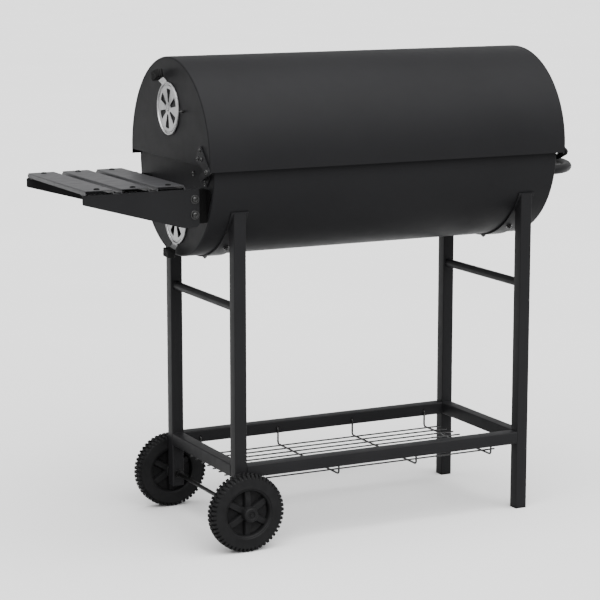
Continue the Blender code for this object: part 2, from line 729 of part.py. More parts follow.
# ---------------------------------------------------------------- side shelf
def slats(coat, root):
    for name, x in SLATS.items():
        half, low = SLAT_W / 2, SLAT_TOP_Z - SLAT_H
        inside, under = half - SLAT_T, SLAT_TOP_Z - SLAT_T
        left = [(-half, SLAT_TOP_Z), (-half, low), (-inside, low), (-inside, under)]
        channel = [(x + u, v) for u, v in left + [(-u, v) for u, v in left[::-1]]]
        slat = prism(name, channel, "Y", -SLAT_HALF, SLAT_HALF)
        for y in (-SLAT_SCREW_Y, SLAT_SCREW_Y):
            grip, face = SLAT_H + PLATE + GAP, SLAT_TOP_Z - 0.0006
            join(slat, bolt("screw", "Z", x, y, face, 1, grip, 0.0024, 0.0052, 0.0022, nut_r=0.004))
        finish(slat, coat, root)


def shelf_brackets(coat, dark, steel, root):
    top = SLAT_TOP_Z - SLAT_H - GAP
    outline = rounded(
        (-BRACKET_END_X + 0.003, top - 0.003, 0.003),
        (-BRACKET_END_X + 0.003, 0.6915, 0.003),
        (-BRACKET_ROOT_X - 0.003, top - 0.003, 0.003),
        (-BRACKET_ROOT_X - 0.008, 0.6425, 0.008),
        (-0.428, 0.654, 0.020),
    )
    angle_top, angle_foot = top - PLATE - 0.001, 0.6405
    for side_name, side in SIDES.items():

        def slab(name, shape, axis, low, high):
            return prism(name, shape, axis, *sorted((low, high)))

        outer, inner = side * BRACKET_Y, side * (BRACKET_Y - PLATE)
        bracket = slab(f"shelf_bracket_{side_name}", outline, "Y", outer, inner)
        flange_y = side * (BRACKET_Y - BRACKET_FLANGE / 2 - PLATE / 4)
        middle_x = -(BRACKET_END_X + BRACKET_ROOT_X) / 2
        half_x = (BRACKET_END_X - BRACKET_ROOT_X) / 2 - 0.004
        flange = box_outline(middle_x, flange_y, half_x, BRACKET_FLANGE / 2 - PLATE / 4)
        join(bracket, prism("flange", flange, "Z", top - PLATE, top))
        ways = [disc(x, side * SLAT_SCREW_Y, 0.0028, 10) for x in SLATS.values()]
        cut(bracket, prisms("screw_ways", ways, "Z", 0.690, 0.720))
        finish(cut(bracket, bolt_ways(side)), coat, root)

        on_cap = -(BOWL_HALF + GAP)
        pad = rounded(
            (side * 0.122, 0.694, 0.009),
            (side * 0.158, 0.694, 0.009),
            (side * 0.138, 0.6465, 0.006),
            (side * 0.118, 0.6465, 0.006),
        )
        angle = prism(f"shelf_angle_{side_name}", pad, "X", on_cap - PLATE, on_cap)
        plate_y = side * (BRACKET_Y - PLATE - GAP)
        leg_root = on_cap - 0.0005
        leg_size = ((ANGLE_END_X + leg_root) / 2, (angle_top - angle_foot) / 2)
        leg = box_outline((leg_root - ANGLE_END_X) / 2, (angle_top + angle_foot) / 2, *leg_size)
        join(angle, slab("leg", leg, "Y", plate_y, plate_y - side * PLATE))
        finish(cut(angle, bolt_ways(side)), dark, root)

        for number, (x, z) in enumerate(BRACKET_BOLTS, 1):
            spot = ("Y", x, z, side * BRACKET_Y, side)
            head = {"head_r": 0.006, "head_h": 0.005, "washer_r": 0.009}
            made = bolt(f"bracket_bolt_{side_name}_{number}", *spot, 2 * PLATE + GAP, **head)
            finish(made, steel, root)


def bolt_ways(side):
    low, high = sorted((side * (BRACKET_Y - 0.015), side * (BRACKET_Y + 0.01)))
    return prisms("bolt_ways", [disc(x, z, 0.0034, 10) for x, z in BRACKET_BOLTS], "Y", low, high)


# ---------------------------------------------------------------- grates
def ledges(coat, root):
    for end_name, end in ENDS.items():
        back = BOWL_HALF - SHEET - 2 * GAP
        steps = ((0, 0), (0, LEDGE_W), (PLATE, LEDGE_W), (PLATE, PLATE), (LEDGE_W, PLATE), (LEDGE_W, 0))
        shape = [(end * (back - inward), LEDGE_TOP_Z - down) for inward, down in steps]
        ledge = prism(f"grate_ledge_{end_name}", shape, "Y", -LEDGE_HALF, LEDGE_HALF)
        for y in LEDGE_BOLT_Y[end_name]:
            spot = ("X", y, LEDGE_BOLT_Z, end * BOWL_HALF, end)
            join(ledge, bolt("bolt", *spot, SHEET + PLATE - GAP, nut_r=0.005, head_h=0.0025))
        finish(ledge, coat, root)


def grate(name, low_z, rods, pitch, half_x, bars_x, half_y, coat, parent):
    """Square rods along X on square cross bars, welded where they cross."""
    half = BAR / 2
    bm = bmesh.new()
    for x in bars_x:
        add_prism(bm, box_outline(x, low_z + half, half, half), "Y", -half_y, half_y)
    made = solid(name, bm)
    bm = bmesh.new()
    for k in range(rods):
        y = (k - (rods - 1) / 2) * pitch
        add_prism(bm, box_outline(y, low_z + BAR + half * 0.6, half * 0.9, half), "X", -half_x, half_x)
    finish(join(made, solid("rods", bm)), coat, parent)


def grates(coat, root):
    cook_z = LEDGE_TOP_Z + GAP
    cook_axis = empty("cooking_grate_lift", (0, 0, cook_z), root)
    cook = (cook_z, COOK_RODS, COOK_ROD_PITCH, COOK_HALF_X, COOK_BARS_X, COOK_HALF_Y)
    grate("cooking_grate", *cook, coat, cook_axis)
    coal_axis = empty("charcoal_grate_lift", (0, 0, COAL_Z), root)
    inside = BOWL_R - SHEET - GAP
    half_y = (inside**2 - (BOWL_Z - COAL_Z) ** 2) ** 0.5 - 0.0004
    coal = (COAL_Z, COAL_RODS, COAL_ROD_PITCH, COAL_HALF_X, COAL_BARS_X, half_y)
    grate("charcoal_grate", *coal, coat, coal_axis)


def build():
    clear_scene()
    paint = material("black_paint", (0.022, 0.023, 0.025), 0.42, 0.0)
    dark = material("matt_black", (0.006, 0.006, 0.006), 0.8, 0.0)
    enamel = material("grate_enamel", (0.03, 0.03, 0.03), 0.5, 0.2)
    zinc = material("zinc_plate", (0.58, 0.60, 0.60), 0.38, 1.0)
    bolt_steel = material("blackened_steel", (0.10, 0.10, 0.10), 0.45, 0.9)
    plastic = material("black_plastic", (0.018, 0.019, 0.020), 0.6, 0.0)
    root = empty("grill", (CENTRE_X, CENTRE_Y, 0))
    lid_axis = empty("lid_hinge_axis", (0, HINGE_Y, HINGE_Z), root)
    legs(paint, root)
    rails(paint, root)
    foot_plugs(plastic, root)
    cradle_straps(paint, root)
    axle_and_wheels(bolt_steel, plastic, root)
    wire_shelf(paint, root)
    bowl(paint, root)
    lid(paint, lid_axis)
    hinges(paint, bolt_steel, root, lid_axis)
    lid_turn = empty("lid_damper_axis", Vector((-LID_HALF, 0, LID_DAMPER_Z)), root)
    bowl_turn = empty("bowl_damper_axis", Vector((-BOWL_HALF, 0, BOWL_DAMPER_Z)), root)
    damper("lid_damper", LID_HALF, LID_DAMPER_Z, LID_DAMPER_TAB, zinc, plastic, lid_turn, lid_axis)
    damper("bowl_damper", BOWL_HALF, BOWL_DAMPER_Z, BOWL_DAMPER_TAB, zinc, plastic, bowl_turn, root)
    handles(paint, root, lid_axis)
    slats(paint, root)
    shelf_brackets(paint, dark, bolt_steel, root)
    ledges(paint, root)
    grates(enamel, root)


build()
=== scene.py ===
"""Looks of the barrel charcoal grill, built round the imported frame.

Metres, +Z up, +X from the side shelf to the push handle. Shapes are laid out from the middle of the
barrel, as in part.py, and shifted to where the frame's own barrel stands.
"""

import json
from math import asin, cos, degrees, pi, radians, sin

import bmesh
import bpy
from mathutils import Matrix, Vector

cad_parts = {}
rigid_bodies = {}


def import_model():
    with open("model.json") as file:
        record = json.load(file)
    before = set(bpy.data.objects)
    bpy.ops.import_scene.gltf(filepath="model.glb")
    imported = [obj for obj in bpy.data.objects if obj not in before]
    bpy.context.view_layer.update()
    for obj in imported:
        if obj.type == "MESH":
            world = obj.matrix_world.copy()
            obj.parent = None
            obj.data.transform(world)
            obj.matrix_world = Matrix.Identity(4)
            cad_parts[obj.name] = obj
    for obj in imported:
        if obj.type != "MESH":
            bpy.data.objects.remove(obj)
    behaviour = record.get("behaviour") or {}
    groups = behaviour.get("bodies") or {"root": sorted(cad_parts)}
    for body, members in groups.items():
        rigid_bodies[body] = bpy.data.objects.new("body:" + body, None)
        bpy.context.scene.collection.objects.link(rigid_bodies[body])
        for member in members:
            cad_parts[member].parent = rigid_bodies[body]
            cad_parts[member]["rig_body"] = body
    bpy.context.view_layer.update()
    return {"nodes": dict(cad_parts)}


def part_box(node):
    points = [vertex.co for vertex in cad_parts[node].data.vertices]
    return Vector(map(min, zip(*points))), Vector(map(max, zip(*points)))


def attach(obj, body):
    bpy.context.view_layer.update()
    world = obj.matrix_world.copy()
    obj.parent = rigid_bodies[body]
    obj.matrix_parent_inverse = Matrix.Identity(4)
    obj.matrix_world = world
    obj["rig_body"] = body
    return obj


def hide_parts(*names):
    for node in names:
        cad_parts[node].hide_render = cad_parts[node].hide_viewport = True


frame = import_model()


def middle(node):
    low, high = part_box(node)
    return (low + high) / 2


def reach(node, axis, way=1):
    """How far the node gets along an axis from the middle of the barrel, one way or the other."""
    return (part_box(node)[1 if way > 0 else 0] - ORIGIN)[axis] * way


X, Y, Z = range(3)
ORIGIN = Vector((middle("bowl_shell").x, middle("bowl_shell").y, 0))
ENDS = {"shelf_end": -1, "handle_end": 1}
SIDES = {"rear": -1, "front": 1}

# Sizes read from the frame
LEG_X = (middle("leg_rear_handle_end") - ORIGIN).x
LEG_Y = (middle("leg_front_handle_end") - ORIGIN).y
TUBE = 2 * (reach("leg_front_handle_end", Y) - LEG_Y)
RAIL_Z = middle("rail_rear").z
CROSS_TUBE_Z = middle("cross_tube_shelf_end").z
CROSS_TUBE_R = (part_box("cross_tube_shelf_end")[1].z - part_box("cross_tube_shelf_end")[0].z) / 2
LID_R = reach("lid_shell", Y)
LID_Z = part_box("lid_shell")[1].z - LID_R
LID_HALF = reach("lid_cap_handle_end", X)
LID_SKIRT_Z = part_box("lid_shell")[0].z
LID_CAP_FOOT_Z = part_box("lid_cap_shelf_end")[0].z
BOWL_R = reach("bowl_shell", Y)
BOWL_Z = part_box("bowl_shell")[0].z + BOWL_R
BOWL_RIM_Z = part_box("bowl_shell")[1].z
BOWL_HALF = reach("bowl_cap_handle_end", X)
WHEEL_R = middle("wheel_rear").z

# Sizes that pieces share
GAP = 0.0003
SHEET = 0.001
PLATE = 0.002
TUBE_CORNER = 0.0024
TUBE_WALL = 0.0012
AXLE_R = 0.004
SHOULDER = 0.0032  # radius of the barrel's rounded ends
CAP_FACE = 0.0005  # depth of a cap's outside face behind the end of the barrel
CAP_BACK = 0.0016  # and of the nuts' seat on its inside face


# ---------------- materials
def nodes_of(name):
    made = bpy.data.materials.new(name)
    made.use_nodes = True
    tree = made.node_tree
    return made, tree, tree.nodes["Principled BSDF"]


def noise(tree, scale, detail):
    place = tree.nodes.new("ShaderNodeTexCoord")
    made = tree.nodes.new("ShaderNodeTexNoise")
    made.inputs["Scale"].default_value = scale
    made.inputs["Detail"].default_value = detail
    tree.links.new(place.outputs["Object"], made.inputs["Vector"])
    return made.outputs["Fac"]


def grey_ramp(tree, value, greys, blue=0.0, start=0.35, end=0.65):
    """A grey with a blue tint that goes from the first to the second as value goes from start to end."""
    made = tree.nodes.new("ShaderNodeValToRGB")
    for element, position, level in zip(made.color_ramp.elements, (start, end), greys):
        element.position = position
        element.color = (level, level, level * (1 + blue), 1)
    tree.links.new(value, made.inputs["Fac"])
    return made.outputs["Color"]


def span(tree, value, low, high, start=0.3, end=0.7):
    """A number that goes from low to high as value goes from start to end."""
    made = tree.nodes.new("ShaderNodeMapRange")
    made.inputs["From Min"].default_value, made.inputs["From Max"].default_value = start, end
    made.inputs["To Min"].default_value, made.inputs["To Max"].default_value = low, high
    tree.links.new(value, made.inputs["Value"])
    return made.outputs["Result"]


def bumps(tree, shader, *layers):
    """Bumps one over another, each (height, strength, distance in metres)."""
    normal = None
    for height, strength, distance in layers:
        made = tree.nodes.new("ShaderNodeBump")
        made.inputs["Strength"].default_value = strength
        made.inputs["Distance"].default_value = distance
        tree.links.new(height, made.inputs["Height"])
        if normal:
            tree.links.new(normal, made.inputs["Normal"])
        normal = made.outputs["Normal"]
    tree.links.new(normal, shader.inputs["Normal"])


def powder_coat(name, greys, blue, rough, grain, specular, ripple=0.0):
    """Satin paint: a fine orange peel, slow changes of tone, and on sheets a faint ripple."""
    made, tree, shader = nodes_of(name)
    tone = noise(tree, scale=5, detail=3)
    tree.links.new(grey_ramp(tree, tone, greys, blue), shader.inputs["Base Color"])
    tree.links.new(span(tree, noise(tree, scale=45, detail=5), *rough), shader.inputs["Roughness"])
    shader.inputs["Specular IOR Level"].default_value = specular
    layers = [(noise(tree, grain, detail=2), 0.10, 0.0002)]
    if ripple:
        layers.append((noise(tree, scale=3, detail=0), ripple, 0.003))
    bumps(tree, shader, *layers)
    return made


def bare_metal(name, greys, blue, rough, spangle=0.0):
    """Plated or bare steel, with crystals of zinc where spangle gives their size."""
    made, tree, shader = nodes_of(name)
    shader.inputs["Metallic"].default_value = 1.0
    if spangle:
        cells = tree.nodes.new("ShaderNodeTexVoronoi")
        cells.inputs["Scale"].default_value = 1 / spangle
        place = tree.nodes.new("ShaderNodeTexCoord")
        tree.links.new(place.outputs["Object"], cells.inputs["Vector"])
        plain = tree.nodes.new("ShaderNodeRGBToBW")
        tree.links.new(cells.outputs["Color"], plain.inputs["Color"])
        value = plain.outputs["Val"]
    else:
        value = noise(tree, scale=320, detail=4)
    tree.links.new(grey_ramp(tree, value, greys, blue, 0.2, 0.8), shader.inputs["Base Color"])
    tree.links.new(span(tree, value, *rough, 0.2, 0.8), shader.inputs["Roughness"])
    bumps(tree, shader, (noise(tree, scale=260, detail=3), 0.08, 0.0002))
    return made


def plastic(name, greys, blue, rough, grain, specular):
    """Moulded plastic with a fine erosion texture."""
    made, tree, shader = nodes_of(name)
    tone = noise(tree, scale=60, detail=5)
    tree.links.new(grey_ramp(tree, tone, greys, blue), shader.inputs["Base Color"])
    tree.links.new(span(tree, noise(tree, scale=150, detail=4), *rough), shader.inputs["Roughness"])
    shader.inputs["Specular IOR Level"].default_value = specular
    bumps(tree, shader, (noise(tree, grain, detail=2), 0.25, 0.00015))
    return made


# name: (maker, darkest and lightest grey, blue tint, roughness range), then for paint and plastic the
# scale of the grain and the specular level, for the barrel's paint its ripple, for zinc its crystals
LOOKS = {
    "sheet_paint": (powder_coat, (0.0069, 0.0077), 0.07, (0.42, 0.47), 700, 0.035, 0.03),
    "frame_paint": (powder_coat, (0.0060, 0.0072), 0.07, (0.38, 0.46), 900, 0.06),
    # the slats' coat: the frame's black paint made about three times lighter, a painted sheen that stands in
    # for the bright reflection on the slats' tops
    "shelf_paint": (powder_coat, (0.0190, 0.0225), 0.06, (0.36, 0.44), 900, 0.16),
    "matt_paint": (powder_coat, (0.0015, 0.0022), 0, (0.75, 0.85), 900, 0.03),
    "bolt_paint": (powder_coat, (0.004, 0.007), 0, (0.20, 0.32), 1200, 0.28),
    "enamel": (powder_coat, (0.008, 0.014), 0, (0.25, 0.40), 500, 0.2),
    "zinc": (bare_metal, (0.26, 0.36), 0.01, (0.36, 0.50), 0.006),
    "dark_steel": (bare_metal, (0.012, 0.026), 0, (0.30, 0.45)),
    "wheel_plastic": (plastic, (0.0038, 0.0052), 0.05, (0.45, 0.58), 900, 0.07),
    "grip_plastic": (plastic, (0.0018, 0.0030), 0, (0.40, 0.55), 1100, 0.07),
}
COATS = {name: maker(name, *look) for name, (maker, *look) in LOOKS.items()}


# ---------------- outlines
def arc(u, v, radius, start, end, steps):
    angles = [radians(start + (end - start) * i / steps) for i in range(steps + 1)]
    return [(u + radius * cos(a), v + radius * sin(a)) for a in angles]


def circle(u, v, radius, sides=32):
    return arc(u, v, radius, 0, 360, sides)[:-1]


def hull(points):
    points = sorted(set(points))

    def half(ordered):
        chain = []
        for p in ordered:
            while len(chain) > 1:
                a, b = chain[-2], chain[-1]
                if (b[0] - a[0]) * (p[1] - a[1]) - (b[1] - a[1]) * (p[0] - a[0]) > 1e-12:
                    break
                chain.pop()
            chain.append(p)
        return chain[:-1]

    return half(points) + half(points[::-1])


def rounded(*circles, sides=40):
    return hull([p for u, v, r in circles for p in circle(u, v, r, sides)])


def square(u, v, half_u, half_v, corner, steps=4):
    """A rectangle with rounded corners."""
    found = []
    for su, sv, angle in ((1, 1, 0), (-1, 1, 90), (-1, -1, 180), (1, -1, 270)):
        centre = (u + su * (half_u - corner), v + sv * (half_v - corner))
        found += arc(*centre, corner, angle, angle + 90, steps)
    return found


def hexagon(u, v, across):
    """A hexagon, its size given across the flats."""
    corners = [radians(a) for a in range(0, 360, 60)]
    return [(u + across / 3**0.5 * cos(a), v + across / 3**0.5 * sin(a)) for a in corners]


# ---------------- mesh work
PLACE = {X: lambda u, v, w: (w, u, v), Y: lambda u, v, w: (u, w, v), Z: lambda u, v, w: (u, v, w)}


def ring_of(bm, outline, axis, w):
    return [bm.verts.new(PLACE[axis](u, v, w)) for u, v in outline]


def skin(bm, rings, closed=False):
    """Joins rings of vertices of equal length."""
    pairs = list(zip(rings, rings[1:])) + ([(rings[-1], rings[0])] if closed else [])
    for a, b in pairs:
        for i in range(len(a)):
            j = (i + 1) % len(a)
            corners = list(dict.fromkeys((a[i], a[j], b[j], b[i])))
            if len(corners) > 2:
                bm.faces.new(corners)


def loft(bm, rings):
    """Joins rings of vertices and closes both ends."""
    skin(bm, rings)
    bm.faces.new(rings[0])
    bm.faces.new(rings[-1])


def run(bm, outline, axis, low, high):
    """The outline run along an axis."""
    loft(bm, [ring_of(bm, outline, axis, w) for w in (low, high)])


def run_hollow(bm, outline, hole, axis, low, high):
    """The outline run along an axis, open inside. Both outlines have as many points."""
    outer = [ring_of(bm, outline, axis, w) for w in (low, high)]
    inner = [ring_of(bm, hole, axis, w) for w in (low, high)]
    skin(bm, outer)
    skin(bm, inner)
    skin(bm, [outer[0], inner[0]])
    skin(bm, [outer[1], inner[1]])
    return outer[1] + inner[1]


def turn(bm, profile, axis, u, v, sides, closed=True):
    """A (radius, distance along the axis) profile turned about the line through (u, v)."""
    rings = []
    for radius, w in profile:
        if radius:
            rings.append(ring_of(bm, circle(u, v, radius, sides), axis, w))
        else:
            rings.append(ring_of(bm, [(u, v)], axis, w) * sides)
    skin(bm, rings, closed)


def sweep(bm, path, radius, sides, round_ends=False):
    """A round bar along a path of points. The radius may be a function of the share of the points passed."""
    points = [Vector(p) for p in path]
    steps = [(b - a).normalized() for a, b in zip(points, points[1:])]
    normal = steps[0].orthogonal().normalized()
    turns = [2 * pi * k / sides for k in range(sides)]
    rings = []
    for i, point in enumerate(points):
        before, after = steps[max(i - 1, 0)], steps[min(i, len(steps) - 1)]
        along = (before + after).normalized()
        normal = (normal - along * normal.dot(along)).normalized()
        side = along.cross(normal)
        r = radius(i / (len(points) - 1)) if callable(radius) else radius
        rings.append([bm.verts.new(point + (normal * cos(a) + side * sin(a)) * r) for a in turns])
    if not round_ends:
        loft(bm, rings)
        return
    skin(bm, rings)
    for ring, out in ((rings[0], -steps[0]), (rings[-1], steps[-1])):
        dome(bm, ring, out)


def dome(bm, ring, out):
    """Closes a ring with a half ball."""
    centre = sum((v.co for v in ring), Vector()) / len(ring)
    r = (ring[0].co - centre).length
    rings = [ring]
    for share in (0.5, 0.85):
        size = (1 - share**2) ** 0.5
        rings.append([bm.verts.new(centre + (v.co - centre) * size + out * r * share) for v in ring])
    rings.append([bm.verts.new(centre + out * r)] * len(ring))
    skin(bm, rings)


def move(bm, start, matrix):
    """Moves the vertices made since start, which is a count taken before."""
    bm.verts.ensure_lookup_table()
    bmesh.ops.transform(bm, matrix=matrix, verts=bm.verts[start:])


def as_object(name, bm):
    bmesh.ops.remove_doubles(bm, verts=bm.verts, dist=1e-7)
    bmesh.ops.recalc_face_normals(bm, faces=bm.faces)
    mesh = bpy.data.meshes.new(name)
    bm.to_mesh(mesh)
    bm.free()
    made = bpy.data.objects.new(name, mesh)
    bpy.context.scene.collection.objects.link(made)
    return made


def cut(bm, tools):
    """Cuts the closed shape tools out of bm and returns the result as a new bmesh."""
    body, tool = as_object("body", bm), as_object("tool", tools)
    change = body.modifiers.new("cut", "BOOLEAN")
    change.operation, change.solver, change.object = "DIFFERENCE", "EXACT", tool
    bpy.context.view_layer.update()
    mesh = bpy.data.meshes.new_from_object(body.evaluated_get(bpy.context.evaluated_depsgraph_get()))
    made = bmesh.new()
    made.from_mesh(mesh)
    for thing in (body, tool):
        bpy.data.objects.remove(thing)
    return made


def piece(name, bm, coat, *stands_for, bevel=0.0, sharp=32, body=None):
    """A finished piece that stands for the CAD nodes named, and rides with them."""
    made = as_object(name, bm)
    made.data.materials.append(COATS[coat])
    made.data.shade_smooth()
    made.data.set_sharp_from_angle(angle=radians(sharp))
    if bevel:
        edge = made.modifiers.new("edge", "BEVEL")
        edge.width, edge.segments = bevel, 2
        edge.limit_method, edge.angle_limit = "ANGLE", radians(35)
        edge.harden_normals = True
        edge.use_clamp_overlap = True
    made.data.transform(Matrix.Translation(ORIGIN))
    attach(made, body or frame["nodes"][stands_for[0]]["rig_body"])
    if stands_for:
        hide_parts(*stands_for)


# ---------------- fasteners
# Nuts: (width across the flats, height)
STRAP_NUT = (0.0088, 0.0036)
BRACKET_NUT = (0.0086, 0.0036)
LEDGE_NUT = (0.0086, 0.0034)
SCREW_NUT = (0.0070, 0.0026)
CAP_NUT = (0.0070, 0.0024)
# Heads: (radius, height), and the width of the socket where there is one
STRAP_HEAD = (0.0058, 0.0026)
BRACKET_HEAD = (0.0060, 0.0042, 0.0036)
LEDGE_HEAD = (0.0050, 0.0026, 0.0026)
SCREW_HEAD = (0.0056, 0.0024, 0.0034)
LID_LEAF_HEAD = (0.0040, 0.0024, 0.0022)
BOWL_LEAF_HEAD = (0.0038, 0.0024, 0.0022)
PIN_HEAD = (0.0052, 0.0028)
STOP_HEAD = (0.0027, 0.0080)


def pan_head(bm, axis, u, v, face, out, radius, height, socket=0.0):
    """A domed head on a face, with a socket where socket gives its width."""
    profile = [(0, 0), (radius, 0)]
    profile += [(radius * r, height * h) for r, h in ((1, 0.35), (0.93, 0.62), (0.78, 0.84), (0.55, 0.96))]
    if socket:
        profile += [(socket * r, height * h) for r, h in ((0.62, 1), (0.5, 0.9), (0.45, 0.35), (0, 0.3))]
    else:
        profile += [(radius * 0.28, height), (0, height)]
    turn(bm, [(r, face + out * h) for r, h in profile], axis, u, v, 28, closed=False)


def washer(bm, axis, u, v, face, out, radius, bore, thick=0.0012):
    edge = thick * 0.25
    profile = [(bore, 0), (radius, 0), (radius, thick - edge), (radius - edge, thick), (bore, thick)]
    turn(bm, [(r, face + out * h) for r, h in profile], axis, u, v, 32)


def hex_nut(bm, axis, u, v, face, out, across, height):
    """A nut with its corners turned off, and the end of its bolt."""
    sizes = ((across, 0), (across, height * 0.88), (across * 0.9, height))
    loft(bm, [ring_of(bm, hexagon(u, v, size), axis, face + out * h) for size, h in sizes])
    r = across / 2
    top = face + out * height
    end = [(0, -0.001), (r * 0.52, -0.001), (r * 0.52, r * 0.35), (r * 0.42, r * 0.5), (0, r * 0.5)]
    turn(bm, [(size, top + out * h) for size, h in end], axis, u, v, 20, closed=False)


# ---------------- stand
WELD_R = 0.0013
WELD_PITCH = 0.0011
HOOK_X = (-0.270, -0.093, 0.084, 0.261)
HOOK_Z = 0.150


def square_tube(bm, axis, u, v, low, high):
    """A hollow square tube. Returns the vertices of its upper end."""
    half, inner_half = TUBE / 2, TUBE / 2 - TUBE_WALL
    outer = square(u, v, half, half, TUBE_CORNER, 5)
    inner = square(u, v, inner_half, inner_half, TUBE_CORNER - TUBE_WALL * 0.6, 5)
    return run_hollow(bm, outer, inner, axis, low, high)


def weld(bm, points, radius=WELD_R):
    """A rippled bead of weld along a line of points."""
    path = [Vector(p) for p in points]
    length = sum((b - a).length for a, b in zip(path, path[1:]))
    count = max(3, int(length / WELD_PITCH))
    walked, spots = 0.0, []
    for a, b in zip(path, path[1:]):
        step = (b - a).length
        while walked < step:
            spots.append(a.lerp(b, walked / step))
            walked += length / count
        walked -= step
    sweep(bm, spots, lambda t: radius * (0.86 + 0.14 * cos(t * len(spots) * pi)), 8)


def leg(side_name, side, end_name, end):
    """A leg, coped on top to the strap round the bowl."""
    node = f"leg_{side_name}_{end_name}"
    cope = BOWL_R + 0.0036
    bm = bmesh.new()
    for vertex in square_tube(bm, Z, end * LEG_X, side * LEG_Y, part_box(node)[0].z, BOWL_Z):
        vertex.co.z = BOWL_Z - (cope**2 - vertex.co.y**2) ** 0.5
    if end < 0:
        hole = bmesh.new()
        low, high = sorted((side * (LEG_Y - TUBE), side * (LEG_Y + TUBE)))
        run(hole, circle(end * LEG_X, WHEEL_R, AXLE_R + GAP), Y, low, high)
        bm = cut(bm, hole)
    piece(f"stand_leg_{side_name}_{end_name}", bm, "frame_paint", node, sharp=25)


def long_rail(side_name, side):
    """A long rail with the holes for the shelf's hooks, welded to the legs at both ends."""
    half = TUBE / 2
    inner = side * (LEG_Y - half)
    bm = bmesh.new()
    square_tube(bm, X, side * LEG_Y, RAIL_Z, -LEG_X + half + GAP, LEG_X - half - GAP)
    holes = bmesh.new()
    for x in HOOK_X:
        run(holes, circle(x, HOOK_Z, 0.0027, 20), Y, *sorted((inner - side * 0.004, inner + side * 0.004)))
    bm = cut(bm, holes)
    for end in ENDS.values():
        x, y = end * (LEG_X - half - GAP / 2), side * LEG_Y
        for z in (RAIL_Z - half, RAIL_Z + half):
            weld(bm, [(x, y - half * 0.8, z), (x, y + half * 0.8, z)])
        weld(bm, [(x, inner, RAIL_Z - half * 0.8), (x, inner, RAIL_Z + half * 0.8)])
    piece(f"stand_rail_{side_name}", bm, "frame_paint", f"rail_{side_name}", sharp=25)


def short_rail(end_name, end):
    half = TUBE / 2
    x = end * LEG_X
    bm = bmesh.new()
    square_tube(bm, Y, x, RAIL_Z, -LEG_Y + half + GAP, LEG_Y - half - GAP)
    for side in SIDES.values():
        y = side * (LEG_Y - half - GAP / 2)
        for z in (RAIL_Z - half, RAIL_Z + half):
            weld(bm, [(x - half * 0.8, y, z), (x + half * 0.8, y, z)])
    piece(f"stand_rail_{end_name}", bm, "frame_paint", f"rail_{end_name}", sharp=25)


def cross_tube(end_name, end):
    half = TUBE / 2
    x = end * LEG_X
    outer = circle(x, CROSS_TUBE_Z, CROSS_TUBE_R, 40)
    inner = circle(x, CROSS_TUBE_Z, CROSS_TUBE_R - TUBE_WALL, 40)
    bm = bmesh.new()
    run_hollow(bm, outer, inner, Y, -LEG_Y + half + GAP, LEG_Y - half - GAP)
    for side in SIDES.values():
        y = side * (LEG_Y - half - 0.0012)
        weld(bm, [(u, y, v) for u, v in arc(x, CROSS_TUBE_Z, CROSS_TUBE_R, 0, 360, 30)], 0.0011)
    piece(f"stand_cross_tube_{end_name}", bm, "frame_paint", f"cross_tube_{end_name}", sharp=40)


def foot_plug(side_name, side):
    """A plastic cap under the leg with four posts up inside it."""
    y = side * LEG_Y
    post_at, post_half = 0.0045, 0.0042
    bm = bmesh.new()
    run(bm, square(LEG_X, y, TUBE / 2, TUBE / 2, TUBE_CORNER, 5), Z, 0, 0.003)
    for way_y in (-1, 1):
        for way_x in (-1, 1):
            centre = (LEG_X + way_x * post_at, y + way_y * post_at)
            run(bm, square(*centre, post_half, post_half, 0.001), Z, 0.0025, 0.012)
    piece(f"foot_plug_cap_{side_name}", bm, "grip_plastic", f"foot_plug_{side_name}", bevel=0.0007)


def stand():
    for side_name, side in SIDES.items():
        for end_name, end in ENDS.items():
            leg(side_name, side, end_name, end)
    for side_name, side in SIDES.items():
        long_rail(side_name, side)
    for end_name, end in ENDS.items():
        short_rail(end_name, end)
        cross_tube(end_name, end)
    for side_name, side in SIDES.items():
        foot_plug(side_name, side)


# ---------------- cradle straps
STRAP_HALF_W = 0.018
STRAP_T = 0.003
STRAP_BOLTS = (-33, 0, 33)  # angles from straight down


def straps():
    inner = BOWL_R + GAP
    outer = inner + STRAP_T
    lift = 90 - degrees(asin((LEG_Y + TUBE / 2) / outer))
    low, high = 180 + lift, 360 - lift
    outline = arc(0, BOWL_Z, outer, low, high, 96) + arc(0, BOWL_Z, inner, high, low, 96)
    for end_name, end in ENDS.items():
        x = end * LEG_X
        bm = bmesh.new()
        run(bm, outline, X, x - STRAP_HALF_W, x + STRAP_HALF_W)
        piece(f"strap_{end_name}", bm, "frame_paint", f"cradle_strap_{end_name}", bevel=0.0006)
        bm = bmesh.new()
        for angle in STRAP_BOLTS:
            start = len(bm.verts)
            washer(bm, Z, 0, 0, outer, 1, 0.0068, 0.0028, 0.001)
            hex_nut(bm, Z, 0, 0, outer + 0.001, 1, *STRAP_NUT)
            pan_head(bm, Z, 0, 0, BOWL_R - SHEET, -1, *STRAP_HEAD)
            tilt = Matrix.Rotation(radians(180 + angle), 4, "X")
            move(bm, start, Matrix.Translation((x, 0, BOWL_Z)) @ tilt)
        piece(f"strap_bolts_{end_name}", bm, "bolt_paint", bevel=0.0002, body="stand")


